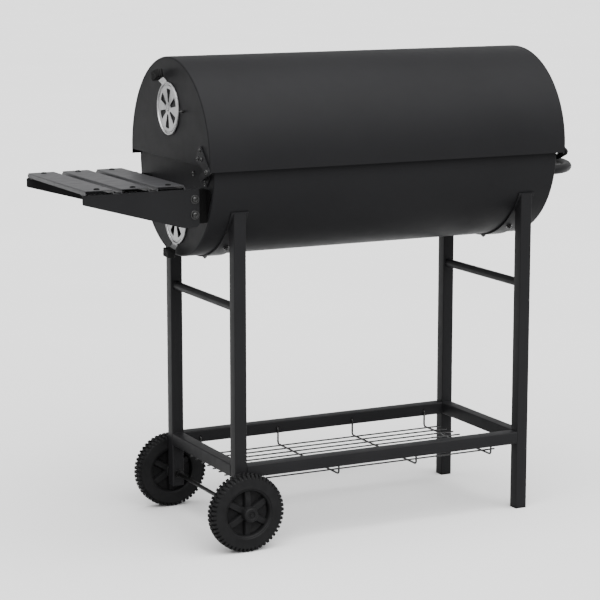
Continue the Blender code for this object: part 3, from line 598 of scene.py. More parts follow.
# ---------------- wheels
# Profiles are (radius, distance from the middle of the stand).
TYRE_BASE = WHEEL_R - 0.0040
TYRE = (
    (0.0445, 0.1725), (0.0475, 0.1705), (0.0520, 0.1700), (0.0560, 0.1712), (0.0640, 0.1704),
    (0.0690, 0.1712), (0.0716, 0.1740), (TYRE_BASE, 0.1775), (TYRE_BASE + 0.0004, 0.1850),
    (TYRE_BASE, 0.1925), (0.0716, 0.1960), (0.0690, 0.1988), (0.0640, 0.1996), (0.0560, 0.1988),
    (0.0520, 0.2000), (0.0500, 0.1998), (0.0488, 0.1985), (0.0475, 0.1985), (0.0462, 0.1978),
    (0.0445, 0.1955), (0.0438, 0.1925), (0.0438, 0.1770),
)
WEB = (
    (0.012, 0.1836), (0.0455, 0.1836), (0.0455, 0.1864), (0.0405, 0.1864), (0.0395, 0.1858),
    (0.0215, 0.1858), (0.0205, 0.1864), (0.012, 0.1864),
)
BORE_R = AXLE_R + 0.0001
HUB = (
    (BORE_R, 0.168), (0.0135, 0.168), (0.0145, 0.1690), (0.0150, 0.1800), (0.0165, 0.1836),
    (0.0165, 0.1864), (0.0152, 0.1900), (0.0146, 0.2032), (0.0138, 0.2040), (BORE_R, 0.2040),
)
CAP_R, CAP_END = 0.0146, 0.2123
HUB_CAP = (
    (0, 0.2095), (AXLE_R, 0.2095), (AXLE_R, 0.2044), (CAP_R, 0.2044), (CAP_R + 0.0001, 0.2092),
    (CAP_R - 0.0008, CAP_END - 0.0010), (CAP_R - 0.0024, CAP_END), (0.0088, CAP_END),
    (0.0074, CAP_END - 0.0004), (0.0066, CAP_END - 0.0022), (0.0030, CAP_END - 0.0024),
    (0.0026, CAP_END - 0.0012), (0, CAP_END - 0.0012),
)
LEG_FACE = LEG_Y + TUBE / 2 + GAP
WASHER = (
    (BORE_R, LEG_FACE), (0.0088, LEG_FACE), (0.0090, LEG_FACE + 0.0003), (0.0090, LEG_FACE + 0.0014),
    (0.0087, LEG_FACE + 0.0017), (BORE_R, LEG_FACE + 0.0017),
)

LUGS = 52
LUG_PITCH = 2 * pi / LUGS
LUG_HALF = LUG_PITCH * 0.335
LUG_TAPER = 0.82  # width of its top as a share of its foot
LUG_ROOT_R = 0.0705
LUG_EDGE = 0.0006
# Rows: (inner y, outer y, offset and lean as shares of a pitch, drop of the inner and the outer edge)
LUG_ROWS = (
    (0.1712, 0.1795, 0, 0, 0.0016, 0.00005),
    (0.1806, 0.1894, 0.5, 0.10, 0.00005, 0.00005),
    (0.1905, 0.1988, 0, 0, 0.00005, 0.0016),
)
# Ribs on the outer wall of the tyre: (radius, height over the wall, width as a share)
RIB = ((0.0745, -0.0004, 1.0), (0.0700, 0.0007, 1.0), (0.0655, 0.0003, 0.75))
RIB_HALF = LUG_PITCH * 0.30
RIB_FACE, RIB_DEEP = 0.1990, 0.003

SPOKES = 6
SPOKE_FACE = 0.185
# A spoke's section, and its (radius, width as a share, how much lower its top is)
SPOKE = (
    (-0.0074, 0), (0.0074, 0), (0.0074, 0.0065), (0.0056, 0.0110), (-0.0056, 0.0110), (-0.0074, 0.0065),
)
SPOKE_STEPS = ((0.0100, 1, 0), (0.0300, 0.96, 0.0006), (0.0450, 0.92, 0.0034))


def wheel(side_name, side):
    x, z = -LEG_X, WHEEL_R

    def lathe(bm, profile, sides):
        turn(bm, [(r, side * y) for r, y in profile], Y, x, z, sides)

    def vertex(bm, r, angle, y):
        return bm.verts.new((x + r * cos(angle), side * y, z + r * sin(angle)))

    def lug(bm, number, y_in, y_out, offset, lean, drop_in, drop_out):
        angle = LUG_PITCH * (number + offset)
        inner, outer = (y_in, -1, drop_in), (y_out, 1, drop_out)
        low, high = [], []
        for across, (y, way, drop) in ((-1, inner), (1, inner), (1, outer), (-1, outer)):
            slant = way * lean * LUG_PITCH
            low.append(vertex(bm, LUG_ROOT_R, angle + across * LUG_HALF + slant, y))
            top = angle + across * LUG_HALF * LUG_TAPER + slant
            high.append(vertex(bm, WHEEL_R - drop, top, y - way * LUG_EDGE))
        loft(bm, [low, high])

    def rib(bm, number):
        angle = LUG_PITCH * number
        rings = []
        for r, lift, share in RIB:
            y = RIB_FACE + lift
            corners = ((-1, y - RIB_DEEP), (1, y - RIB_DEEP), (0.8, y), (-0.8, y))
            rings.append([vertex(bm, r, angle + way * RIB_HALF * share, out) for way, out in corners])
        loft(bm, rings)

    def spoke(bm, number, way):
        start = len(bm.verts)
        rings = []
        for r, slim, fall in SPOKE_STEPS:
            section = [(w * slim, SPOKE_FACE + way * (h - (fall if h else 0))) for w, h in SPOKE]
            rings.append([bm.verts.new((r, side * y, w)) for w, y in section])
        loft(bm, rings)
        spin = Matrix.Rotation(-pi / 2 - 2 * pi * number / SPOKES, 4, "Y")
        move(bm, start, Matrix.Translation((x, 0, z)) @ spin)

    bm = bmesh.new()
    lathe(bm, TYRE, 120)
    for number in range(LUGS):
        for row in LUG_ROWS:
            lug(bm, number, *row)
    for number in range(LUGS):
        rib(bm, number)
    for number in range(SPOKES):
        for way in (1, -1):
            spoke(bm, number, way)
    lathe(bm, WEB, 96)
    lathe(bm, HUB, 64)
    piece(f"wheel_tyre_{side_name}", bm, "wheel_plastic", f"wheel_{side_name}", bevel=0.0004, sharp=38)
    bm = bmesh.new()
    lathe(bm, HUB_CAP, 56)
    piece(f"hub_push_cap_{side_name}", bm, "wheel_plastic", f"hub_cap_{side_name}", sharp=38)
    bm = bmesh.new()
    lathe(bm, WASHER, 40)
    piece(f"wheel_washer_{side_name}", bm, "dark_steel", f"axle_washer_{side_name}", sharp=38)


def axle():
    """The rod with a nut and a washer on the inside of each leg."""
    x, z = -LEG_X, WHEEL_R
    end, edge = reach("axle", Y), 0.0006
    bm = bmesh.new()
    half = [(0, end), (AXLE_R - edge, end), (AXLE_R, end - edge)]
    profile = [(r, -y) for r, y in half] + half[::-1]
    turn(bm, profile, Y, x, z, 40, closed=False)
    for side in SIDES.values():
        inner = side * (LEG_Y - TUBE / 2 - 0.0004)
        washer(bm, Y, x, z, inner, -side, 0.0095, AXLE_R)
        loft(bm, [ring_of(bm, hexagon(x, z, 0.0128), Y, inner - side * w) for w in (0.0013, 0.0068)])
    piece("wheel_axle_rod", bm, "dark_steel", "axle", bevel=0.0003)


def wheels():
    for side_name, side in SIDES.items():
        wheel(side_name, side)
    axle()


# ---------------- wire shelf
CROSS_WIRE_R = 0.0020
LONG_WIRE_R = 0.0016
LONG_WIRES = 9
LONG_PITCH = 0.028
UPRIGHT_Y, HOOK_TIP_Y = 0.138, 0.1455
FOOT_BEND, HOOK_BEND = 0.006, 0.0035
SPOT_WELD = ((0, -0.0022), (0.0016, -0.0016), (0.0020, 0), (0.0016, 0.0016), (0, 0.0022))


def wire_shelf():
    """Long wires spot-welded on cross wires whose ends turn up and hook into the rails."""
    cross_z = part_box("wire_shelf")[0].z + CROSS_WIRE_R
    long_z = cross_z + CROSS_WIRE_R + LONG_WIRE_R * 0.6
    rows = [(k - (LONG_WIRES - 1) / 2) * LONG_PITCH for k in range(LONG_WIRES)]
    bm = bmesh.new()
    for y in rows:
        sweep(bm, [(x, y, long_z) for x in (-0.305, -0.1, 0.1, 0.285)], LONG_WIRE_R, 12, round_ends=True)
    corner = arc(UPRIGHT_Y - FOOT_BEND, cross_z + FOOT_BEND, FOOT_BEND, -90, 0, 6)
    hook = arc(UPRIGHT_Y + HOOK_BEND, HOOK_Z - HOOK_BEND, HOOK_BEND, 180, 90, 5)
    half = corner + hook + [(HOOK_TIP_Y, HOOK_Z)]
    for x in HOOK_X:
        path = [(x, -y, z) for y, z in half[::-1]] + [(x, y, z) for y, z in half]
        sweep(bm, path, CROSS_WIRE_R, 14, round_ends=True)
        for y in rows:
            start = len(bm.verts)
            turn(bm, SPOT_WELD, X, 0, 0, 10, closed=False)
            move(bm, start, Matrix.Translation((x, y, cross_z + CROSS_WIRE_R * 0.8)))
    piece("wire_tray", bm, "bolt_paint", "wire_shelf", sharp=50)


# ---------------- barrel
SHELL_STEPS = 160
HEM_DEEP, HEM_IN = 0.009, 0.006
SLOT_COUNT, SLOT_CORNER = 6, 0.0008


def sheet_shell(bm, radius, z, half, start, end):
    """A half barrel of sheet, its long edges hemmed and its ends turned in over a rounded shoulder."""

    def shoulder(way, r):
        turns = [radians(a) for a in range(0, 91, 15)]
        return [(way * (half - SHOULDER + r * sin(a)), radius - SHOULDER + r * cos(a)) for a in turns]

    outside = shoulder(-1, SHOULDER)[::-1] + shoulder(1, SHOULDER)
    inside = shoulder(1, SHOULDER - SHEET)[::-1] + shoulder(-1, SHOULDER - SHEET)
    rings = []
    for i in range(SHELL_STEPS + 1):
        angle = radians(start + (end - start) * i / SHELL_STEPS)
        rings.append([bm.verts.new((x, r * cos(angle), z + r * sin(angle))) for x, r in outside + inside])
    loft(bm, rings)
    skin_r, fold_r = radius - SHEET, radius - 2 * SHEET - 0.0002
    hem = ((skin_r, 0), (fold_r, 0), (fold_r, HEM_DEEP), (skin_r, HEM_DEEP + 0.0003))
    for edge, way in ((start, 1), (end, -1)):
        turns = [(r, radians(edge) + way * along / radius) for r, along in hem]
        loft(bm, [
            [bm.verts.new((x, r * cos(a), z + r * sin(a))) for r, a in turns]
            for x in (-half + HEM_IN, half - HEM_IN)
        ])


def slots(z, inner_r, outer_r, half_angle, first):
    """Wedges with rounded corners round (0, z); first is the angle of one wedge's middle."""
    found = []
    for k in range(SLOT_COUNT):
        centre = first + 360 * k / SLOT_COUNT
        points = arc(0, z, outer_r, centre - half_angle + 2, centre + half_angle - 2, 8)
        for r in (inner_r + SLOT_CORNER, outer_r - SLOT_CORNER):
            spread = half_angle - degrees(asin(SLOT_CORNER / r))
            for a in (radians(centre - spread), radians(centre + spread)):
                points += circle(r * cos(a), z + r * sin(a), SLOT_CORNER, 16)
        found.append(hull(points))
    return found


def cap(name, node, outline, outer_x, end, holes):
    """A flat end let in behind the shell's shoulder, with its holes."""
    bm = bmesh.new()
    face = outer_x - CAP_FACE
    low, high = sorted((end * face, end * (face - SHEET)))
    run(bm, outline, X, low, high)
    if holes:
        tools = bmesh.new()
        for hole in holes:
            run(tools, hole, X, low - 0.004, high + 0.004)
        bm = cut(bm, tools)
    piece(name, bm, "sheet_paint", node, bevel=0.0003, sharp=30)


# name: (outside of its cap, height, angle of its tab, how far it is turned from open, in degrees)
DAMPERS = {
    "lid_damper": (LID_HALF, middle("lid_damper_rivet").z, 70, 30),
    "bowl_damper": (BOWL_HALF, middle("bowl_damper_rivet").z, -86, 0),
}
SLOT_FROM_TAB = 26  # angle from a damper's tab to the middle of a slot


def vents(damper_name, end):
    """The slots in the cap behind a damper. The cap at the handle end has none."""
    _, z, tab, shut_by = DAMPERS[damper_name]
    return slots(z, 0.0125, 0.0375, 13, tab + SLOT_FROM_TAB + shut_by) if end < 0 else []


def barrel():
    drop = degrees(asin((LID_Z - LID_SKIRT_Z) / LID_R))
    bm = bmesh.new()
    sheet_shell(bm, LID_R, LID_Z, LID_HALF, -drop, 180 + drop)
    piece("lid_sheet", bm, "sheet_paint", "lid_shell", sharp=50)
    lift = degrees(asin((BOWL_RIM_Z - BOWL_Z) / BOWL_R))
    bm = bmesh.new()
    sheet_shell(bm, BOWL_R, BOWL_Z, BOWL_HALF, 180 - lift, 360 + lift)
    piece("bowl_sheet", bm, "sheet_paint", "bowl_shell", sharp=50)

    set_in = SHOULDER - 0.0004
    for end_name, end in ENDS.items():
        lid_node, bowl_node = f"lid_cap_{end_name}", f"bowl_cap_{end_name}"
        r = LID_R - set_in
        drop = degrees(asin((LID_Z - LID_CAP_FOOT_Z) / r))
        outline = arc(0, LID_Z, r, -drop, 180 + drop, 120)
        cap(f"lid_end_{end_name}", lid_node, outline, LID_HALF, end, vents("lid_damper", end))
        r = BOWL_R - set_in
        drop = degrees(asin((BOWL_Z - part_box(bowl_node)[1].z) / r))
        outline = arc(0, BOWL_Z, r, 180 + drop, 360 - drop, 120)
        cap(f"bowl_end_{end_name}", bowl_node, outline, BOWL_HALF, end, vents("bowl_damper", end))


# ---------------- dampers
STOP_Y = (middle("lid_damper_stop") - ORIGIN).y
RIVET_HOLE_R = 0.0029
# The disc, a (radius, height) profile
DISC = (
    (RIVET_HOLE_R, 0), (0.0505, 0), (0.0510, 0.0005), (0.0510, 0.0024), (0.0504, 0.0031),
    (0.0488, 0.0031), (0.0481, 0.0024), (0.0476, 0.0006), (0.0460, 0.0004), (0.0452, 0.0007),
    (0.0447, 0.0014), (0.0104, 0.0014), (0.0094, 0.0019), (0.0080, 0.0022), (RIVET_HOLE_R, 0.0022),
)
# The tab's middle line as (radius, height), each with the way across its thickness
TAB = (
    ((0.0490, 0.0014), (0, 1)), ((0.0520, 0.0014), (-0.2, 1)), ((0.0535, 0.0018), (-0.4, 0.9)),
    ((0.0548, 0.0026), (-0.6, 0.8)), ((0.0640, 0.0105), (-0.65, 0.76)),
)
TAB_HALF_W, TAB_HALF_T = 0.0117, 0.0006
# The grip, where it sits along and over the tab, and half its width, thickness and length
GRIP_R, GRIP_OUT = 0.068, 0.0136
GRIP_HALF_W, GRIP_HALF_T, GRIP_HALF_L = 0.0148, 0.0081, 0.0084
FLUTES, FLUTE_DEEP = 20, 0.0008
FLUTE = (0.92, 1.0, 1.0, 0.92, 0.45, 0.0, 0.0, 0.45)
GRIP_STEPS = (
    (-GRIP_HALF_L, 0.86), (-GRIP_HALF_L + 0.0009, 0.98), (-GRIP_HALF_L + 0.0016, 1.0),
    (GRIP_HALF_L - 0.0016, 1.0), (GRIP_HALF_L - 0.0005, 0.96), (GRIP_HALF_L, 0.84),
)


def fluted_outline():
    """The grip's section: a rounded rectangle with flutes all round."""
    around = square(0, 0, GRIP_HALF_W - FLUTE_DEEP, GRIP_HALF_T - FLUTE_DEEP, 0.0034, 8)
    points = [Vector(p) for p in around]
    edges = list(zip(points, points[1:] + points[:1]))
    length = sum((b - a).length for a, b in edges)
    count = len(FLUTE) * FLUTES
    found = []
    for k in range(count):
        left, n = length * k / count, 0
        while left > (edges[n][1] - edges[n][0]).length and n < len(edges) - 1:
            left -= (edges[n][1] - edges[n][0]).length
            n += 1
        way = (edges[n][1] - edges[n][0]).normalized()
        spot = edges[n][0] + way * left
        lift = FLUTE_DEEP * FLUTE[k % len(FLUTE)]
        found.append((spot.x + way.y * lift, spot.y - way.x * lift))
    return found


def damper(name, cap_x, z, tab_angle):
    """A pressed zinc disc with slots, a bent tab and a fluted grip on it, its rivet and its stop bolt."""
    out = cap_x + GAP
    a = radians(tab_angle)

    def at(along, across, proud):
        y = along * cos(a) - across * sin(a)
        return (-(out + proud), y, z + along * sin(a) + across * cos(a))

    bm = bmesh.new()
    turn(bm, [(r, -(out + h)) for r, h in DISC], X, 0, z, 128)
    tools = bmesh.new()
    for hole in slots(z, 0.0117, 0.0385, 14, tab_angle + SLOT_FROM_TAB):
        run(tools, hole, X, -(out + 0.02), -(out - 0.02))
    bm = cut(bm, tools)
    lower = [(r - across * TAB_HALF_T, h - over * TAB_HALF_T) for (r, h), (across, over) in TAB]
    upper = [(r + across * TAB_HALF_T, h + over * TAB_HALF_T) for (r, h), (across, over) in TAB]
    outline = lower + upper[::-1]
    loft(bm, [[bm.verts.new(at(r, across, h)) for r, h in outline] for across in (-TAB_HALF_W, TAB_HALF_W)])
    piece(f"{name}_plate", bm, "zinc", f"{name}_disc", bevel=0.00025, sharp=40)

    bm = bmesh.new()
    section = fluted_outline()
    loft(bm, [
        [bm.verts.new(at(GRIP_R + along, u * size, GRIP_OUT + v * size)) for u, v in section]
        for along, size in GRIP_STEPS
    ])
    piece(f"{name}_knob", bm, "grip_plastic", f"{name}_grip", sharp=45)

    bm = bmesh.new()
    crown, back = -(out + 0.0023), -(cap_x - CAP_BACK)
    outside = [
        (0, -0.0003), (0.0022, -0.0004), (0.0030, -0.0013), (0.0040, -0.0017), (0.0052, -0.0014),
        (0.0058, -0.0006), (0.0056, 0), (0.0026, 0),
    ]
    inside = [(0.0026, 0), (0.0042, 0), (0.0042, 0.0016), (0.0030, 0.0029), (0, 0.0029)]
    profile = [(r, crown + h) for r, h in outside] + [(r, back + h) for r, h in inside]
    turn(bm, profile, X, 0, z, 32, closed=False)
    piece(f"{name}_rivet_head", bm, "zinc", f"{name}_rivet", sharp=40)

    bm = bmesh.new()
    pan_head(bm, X, STOP_Y, z, -(cap_x - CAP_FACE), -1, *STOP_HEAD)
    hex_nut(bm, X, STOP_Y, z, back, 1, *CAP_NUT)
    piece(f"{name}_stop_bolt", bm, "bolt_paint", f"{name}_stop", sharp=40)


# ---------------- hinges
# Points on the cap as (y, z), the elbow's with its radius
LID_BOLTS = ((-0.150, 0.779), (-0.141, 0.7625), (-0.158, 0.7625))
BOWL_BOLTS = {
    "shelf_end": ((-0.1445, 0.7130), (-0.1445, 0.7225)),
    "handle_end": ((-0.1445, 0.7225), (-0.1445, 0.7320)),
}
LID_LOBE_R, BOWL_LOBE_R, EYE_R = 0.0078, 0.0060, 0.0072
ELBOW = (-0.1562, 0.7275, 0.0060)
STEP = ((-0.1600, 0.7230), (-0.1545, 0.7335), (-0.1520, 0.7322), (-0.1575, 0.7217))
PIN_R, PIN_HOLE_R = 0.0027, 0.0029


def hinge(end_name, end):
    """Two leaves, the lower one stepped out over the upper, their bolts, and the rivet they turn on."""
    pivot = middle("hinge_pin_shelf_end") - ORIGIN
    eye = (pivot.y, pivot.z, EYE_R)
    inner = LID_HALF + GAP
    outer = inner + PLATE + GAP
    pad = BOWL_HALF + GAP

    def layer(outline, low, high):
        bm = bmesh.new()
        run(bm, outline, X, *sorted((end * low, end * high)))
        return bm

    def eye_hole():
        return layer(circle(pivot.y, pivot.z, PIN_HOLE_R, 24), inner - 0.02, outer + 0.02)

    def bolts(name, spots, seat, cap_x, head, body):
        bm = bmesh.new()
        for v, w in spots:
            pan_head(bm, X, v, w, end * (seat + PLATE), end, *head)
            hex_nut(bm, X, v, w, end * (cap_x - CAP_BACK), -end, *CAP_NUT)
        piece(f"{name}_{end_name}", bm, "bolt_paint", body=body, sharp=40)

    bm = cut(layer(rounded(*[(*b, LID_LOBE_R) for b in LID_BOLTS], eye), inner, inner + PLATE), eye_hole())
    piece(f"hinge_upper_{end_name}", bm, "frame_paint", f"hinge_lid_leaf_{end_name}", bevel=0.0004)
    bolts("hinge_upper_bolts", LID_BOLTS, inner, LID_HALF, LID_LEAF_HEAD, "lid")

    spots = BOWL_BOLTS[end_name]
    bm = layer(rounded(*[(*b, BOWL_LOBE_R) for b in spots], ELBOW), pad, pad + PLATE)
    lobe = cut(layer(rounded(ELBOW, eye), outer, outer + PLATE), eye_hole())
    run(bm, hull(STEP), X, *sorted((end * (pad + 0.0002), end * (outer + PLATE - 0.0002))))
    lobe_mesh = bpy.data.meshes.new("lobe")
    lobe.to_mesh(lobe_mesh)
    lobe.free()
    bm.from_mesh(lobe_mesh)
    piece(f"hinge_lower_{end_name}", bm, "frame_paint", f"hinge_bowl_leaf_{end_name}", bevel=0.0004)
    bolts("hinge_lower_bolts", spots, pad, BOWL_HALF, BOWL_LEAF_HEAD, "stand")

    bm = bmesh.new()
    axis = (X, pivot.y, pivot.z)
    pan_head(bm, *axis, end * (outer + PLATE + 0.0001), end, *PIN_HEAD)
    shank = ((0, outer + PLATE), (PIN_R, outer + PLATE), (PIN_R, inner - 0.004), (0, inner - 0.004))
    rim = (
        (PIN_R, inner - 0.0004), (0.0040, inner - 0.0004), (0.0038, inner - 0.0034), (PIN_R, inner - 0.0040),
    )
    turn(bm, [(r, end * w) for r, w in shank], *axis, 24, closed=False)
    turn(bm, [(r, end * w) for r, w in rim], *axis, 24)
    piece(f"hinge_rivet_{end_name}", bm, "bolt_paint", f"hinge_pin_{end_name}", sharp=40)


def hinges():
    for end_name, end in ENDS.items():
        hinge(end_name, end)


# ---------------- handles
PUSH_FOOT_R, LID_FOOT_R = 0.0119, 0.0139


def bow(name, node, to_world, half_w, out, tube_r, foot_r):
    """A tube bent into a bow, with a round plate at each foot. to_world takes (across, out)."""
    stub, steps = 0.005, 64
    angles = [pi * i / steps for i in range(steps + 1)]
    path = [to_world(-half_w, PLATE / 2)]
    path += [to_world(-half_w * cos(t), stub + (out - stub) * sin(t)) for t in angles]
    path += [to_world(half_w, PLATE / 2)]
    bm = bmesh.new()
    sweep(bm, path, tube_r, 28)
    foot = (
        (0, 0), (foot_r, 0), (foot_r, PLATE * 0.7), (foot_r - 0.0006, PLATE), (tube_r + 0.0012, PLATE),
        (tube_r, PLATE + 0.0014), (tube_r * 0.9, PLATE + 0.0014), (0, PLATE),
    )
    normal = (Vector(to_world(0, 1)) - Vector(to_world(0, 0))).normalized()
    spin = Vector((0, 0, 1)).rotation_difference(normal).to_matrix().to_4x4()
    for across in (-half_w, half_w):
        start = len(bm.verts)
        turn(bm, foot, Z, 0, 0, 40, closed=False)
        move(bm, start, Matrix.Translation(Vector(to_world(across, 0))) @ spin)
    piece(name, bm, "frame_paint", node, sharp=40)


def handles():
    push_z = middle("push_handle").z
    tilt = radians(14)

    def from_cap(across, out):
        return (BOWL_HALF + GAP + out, across, push_z)

    def from_lid(across, out):
        far = LID_R + GAP + out
        return (across, far * cos(tilt), LID_Z + far * sin(tilt))

    bow("push_bow", "push_handle", from_cap, 0.148, 0.1044, 0.0094, PUSH_FOOT_R)
    bow("lid_bow", "lid_handle", from_lid, 0.130, 0.0498, 0.0079, LID_FOOT_R)


# ---------------- side shelf
SLAT_TOP, SLAT_DEEP = 0.7155, 0.0085
SLAT_HALF_W, SLAT_T, SLAT_BEND, SLAT_CORNER = 0.028, 0.0012, 0.0022, 0.005
SLAT_SCREW_Y = 0.141
BRACKET_TOP = SLAT_TOP - SLAT_DEEP - GAP
ANGLE_END_X, ANGLE_FOOT_Z = 0.426, 0.6405


def slat(which):
    """A slat of sheet folded down along both long edges, its four top corners rounded, and its screws."""
    node = f"shelf_slat_{which}"
    x = (middle(node) - ORIGIN).x
    half_y = reach(node, Y)

    def fold(r):
        turns = [radians(a) for a in range(0, 91, 15)]
        edge = (-SLAT_HALF_W + SLAT_BEND - r, SLAT_TOP - SLAT_DEEP)
        bend = [(-SLAT_HALF_W + SLAT_BEND - r * cos(a), SLAT_TOP - SLAT_BEND + r * sin(a)) for a in turns]
        return [edge] + bend

    outer, inner = fold(SLAT_BEND), fold(SLAT_BEND - SLAT_T)
    outline = outer + [(-u, w) for u, w in outer[::-1]] + [(-u, w) for u, w in inner] + inner[::-1]
    bm = bmesh.new()
    run(bm, [(x + u, w) for u, w in outline], Y, -half_y, half_y)
    corners = bmesh.new()
    turns = [radians(b) for b in range(0, 91, 10)]
    for way_x in (-1, 1):
        for way_y in (-1, 1):
            cx, cy = x + way_x * (SLAT_HALF_W - SLAT_CORNER), way_y * (half_y - SLAT_CORNER)
            out_x, out_y = x + way_x * (SLAT_HALF_W + 0.001), way_y * (half_y + 0.001)
            rim = [(cx + way_x * SLAT_CORNER * cos(b), cy + way_y * SLAT_CORNER * sin(b)) for b in turns]
            wedge = [(out_x, out_y), (out_x, cy)] + rim + [(cx, out_y)]
            run(corners, wedge, Z, SLAT_TOP - 0.003, SLAT_TOP + 0.003)
    bm = cut(bm, corners)
    # the slats' coat is lighter than the frame's black paint: painted sheen for the reflection on their tops
    piece(f"slat_{which}", bm, "shelf_paint", node, bevel=0.0002, sharp=28)
    bm = bmesh.new()
    for y in (-SLAT_SCREW_Y, SLAT_SCREW_Y):
        pan_head(bm, Z, x, y, SLAT_TOP - 0.0002, 1, *SCREW_HEAD)
        hex_nut(bm, Z, x, y, SLAT_TOP - SLAT_DEEP - 0.0024, -1, *SCREW_NUT)
    piece(f"slat_screws_{which}", bm, "matt_paint", body="stand", sharp=40)


def bracket(side_name, side):
    """The plate under the slats' ends, the black angle that holds it on the cap, and their bolts."""
    node = f"shelf_bracket_{side_name}"
    y = reach(node, Y, side)
    end_x, root_x = reach("shelf_bracket_rear", X, -1), -reach("shelf_bracket_rear", X)
    corners = (
        (-end_x + 0.003, BRACKET_TOP - 0.003, 0.003), (-end_x + 0.003, 0.6915, 0.003),
        (-root_x - 0.003, BRACKET_TOP - 0.003, 0.003), (-root_x - 0.008, 0.6425, 0.008),
        (-0.428, 0.654, 0.020),
    )
    bm = bmesh.new()
    run(bm, rounded(*corners, sides=48), Y, *sorted((side * y, side * (y - PLATE))))
    flange = square(-(end_x + root_x) / 2, side * (y - 0.0105), (end_x - root_x) / 2 - 0.004, 0.0095, 0.003)
    run(bm, flange, Z, BRACKET_TOP - PLATE, BRACKET_TOP)
    piece(f"bracket_{side_name}", bm, "frame_paint", node, bevel=0.0005)

    bm = bmesh.new()
    on_cap = -(BOWL_HALF + GAP)
    lobes = ((0.122, 0.694, 0.009), (0.158, 0.694, 0.009), (0.138, 0.6465, 0.006), (0.118, 0.6465, 0.006))
    run(bm, rounded(*[(side * v, w, r) for v, w, r in lobes]), X, on_cap - PLATE, on_cap)
    top = BRACKET_TOP - PLATE - 0.001
    centre = ((on_cap - ANGLE_END_X) / 2, (top + ANGLE_FOOT_Z) / 2)
    plate = square(*centre, (ANGLE_END_X + on_cap) / 2, (top - ANGLE_FOOT_Z) / 2, 0.002)
    inner = side * (y - PLATE - GAP)
    run(bm, plate, Y, *sorted((inner, inner - side * PLATE)))
    piece(f"angle_{side_name}", bm, "matt_paint", f"shelf_angle_{side_name}", bevel=0.0005)

    for number in (1, 2):
        bolt_node = f"bracket_bolt_{side_name}_{number}"
        spot = middle(bolt_node) - ORIGIN
        bm = bmesh.new()
        washer(bm, Y, spot.x, spot.z, side * (y + 0.0001), side, 0.0090, 0.0030)
        pan_head(bm, Y, spot.x, spot.z, side * (y + 0.0013), side, *BRACKET_HEAD)
        hex_nut(bm, Y, spot.x, spot.z, inner - side * PLATE, -side, *BRACKET_NUT)
        piece(f"shelf_bolt_{side_name}_{number}", bm, "bolt_paint", bolt_node, bevel=0.0002)


def side_shelf():
    for which in ("outer", "middle", "inner"):
        slat(which)
    for side_name, side in SIDES.items():
        bracket(side_name, side)


# ---------------- grates and ledges
ROD_R = 0.0019
LEDGE_W, LEDGE_HALF = 0.020, 0.120
LEDGE_BOLT_Z = 0.7276
LEDGE_BOLT_Y = {"shelf_end": (-0.0845,), "handle_end": (-0.0845, 0.0845)}


def grate(name, node, rods, pitch, bars_x):
    """Round rods on round cross bars, their ends domed."""
    low, high = (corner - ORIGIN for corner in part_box(node))
    half_y = (high.y - low.y) / 2 - ROD_R
    bar_z, rod_z = low.z + ROD_R, low.z + 3 * ROD_R - 0.0003
    bm = bmesh.new()
    for x in bars_x:
        sweep(bm, [(x, y, bar_z) for y in (-half_y, 0, half_y)], ROD_R, 14, round_ends=True)
    for k in range(rods):
        y = (k - (rods - 1) / 2) * pitch
        sweep(bm, [(x, y, rod_z) for x in (low.x + ROD_R, 0, high.x - ROD_R)], ROD_R, 14, round_ends=True)
    piece(name, bm, "enamel", node, sharp=50)


def ledge(end_name, end):
    """An angle on the inside of the bowl's cap, and its bolts."""
    node = f"grate_ledge_{end_name}"
    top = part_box(node)[1].z
    back = BOWL_HALF - SHEET - 2 * GAP
    section = (
        (back, top), (back, top - LEDGE_W), (back - PLATE, top - LEDGE_W),
        (back - PLATE, top - PLATE), (back - LEDGE_W, top - PLATE), (back - LEDGE_W, top),
    )
    bm = bmesh.new()
    run(bm, [(end * x, z) for x, z in section], Y, -LEDGE_HALF, LEDGE_HALF)
    piece(f"ledge_{end_name}", bm, "frame_paint", node, bevel=0.0004)
    bm = bmesh.new()
    for y in LEDGE_BOLT_Y[end_name]:
        pan_head(bm, X, y, LEDGE_BOLT_Z, end * (BOWL_HALF - 0.0004), end, *LEDGE_HEAD)
        hex_nut(bm, X, y, LEDGE_BOLT_Z, end * (back - PLATE), -end, *LEDGE_NUT)
    piece(f"ledge_bolts_{end_name}", bm, "bolt_paint", body="stand", sharp=40)


def inside():
    grate("cooking_rods", "cooking_grate", 17, 0.020, (-0.366, -0.122, 0.122, 0.366))
    grate("charcoal_rods", "charcoal_grate", 9, 0.030, (-0.330, -0.110, 0.110, 0.330))
    for end_name, end in ENDS.items():
        ledge(end_name, end)


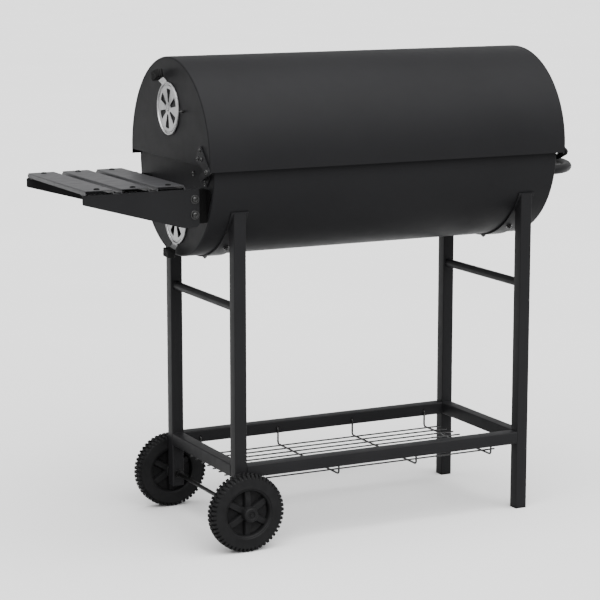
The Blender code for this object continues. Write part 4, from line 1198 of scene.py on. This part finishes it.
# ---------------- stage
FLOOR_HALF = 40
LIGHT_FROM = (-0.06, -0.44, 0.90)
LIGHT_STRENGTH = 10.5
CAMERA_AT = (-2.0429, -3.8530, 1.2219)
CAMERA_LENS, CAMERA_SENSOR = 130.16, 36
CAMERA_DOWN, CAMERA_HEADING = 10.1925, -26.6372


def stage():
    """A plain pale floor."""
    bm = bmesh.new()
    ways = ((-1, -1), (1, -1), (1, 1), (-1, 1))
    bm.faces.new([bm.verts.new((x * FLOOR_HALF, y * FLOOR_HALF, 0)) for x, y in ways])
    floor = as_object("floor", bm)
    made, tree, shader = nodes_of("floor")
    tone = noise(tree, scale=1.5, detail=2)
    tree.links.new(grey_ramp(tree, tone, (0.455, 0.465)), shader.inputs["Base Color"])
    shader.inputs["Roughness"].default_value = 0.9
    shader.inputs["Specular IOR Level"].default_value = 0.1
    floor.data.materials.append(made)


def lights():
    """A sky that is bright all round one direction and dark behind."""
    world = bpy.data.worlds.new("studio")
    bpy.context.scene.world = world
    world.use_nodes = True
    tree = world.node_tree
    background = tree.nodes["Background"]
    place = tree.nodes.new("ShaderNodeTexCoord")
    facing = tree.nodes.new("ShaderNodeVectorMath")
    facing.operation = "DOT_PRODUCT"
    facing.inputs[1].default_value = Vector(LIGHT_FROM).normalized()
    tree.links.new(place.outputs["Generated"], facing.inputs[0])
    glow = grey_ramp(tree, facing.outputs["Value"], (0.065, 1.0), 0, 0.52, 0.95)
    tree.links.new(glow, background.inputs["Color"])
    background.inputs["Strength"].default_value = LIGHT_STRENGTH


def camera():
    data = bpy.data.cameras.new("camera")
    data.lens, data.sensor_width = CAMERA_LENS, CAMERA_SENSOR
    made = bpy.data.objects.new("camera", data)
    bpy.context.scene.collection.objects.link(made)
    made.location = ORIGIN + Vector(CAMERA_AT)
    made.rotation_euler = (radians(90 - CAMERA_DOWN), 0, radians(CAMERA_HEADING))
    bpy.context.scene.camera = made


stand()
straps()
wheels()
wire_shelf()
barrel()
for damper_name, (cap_x, damper_z, tab, _) in DAMPERS.items():
    damper(damper_name, cap_x, damper_z, tab)
hinges()
handles()
side_shelf()
inside()
stage()
lights()
camera()
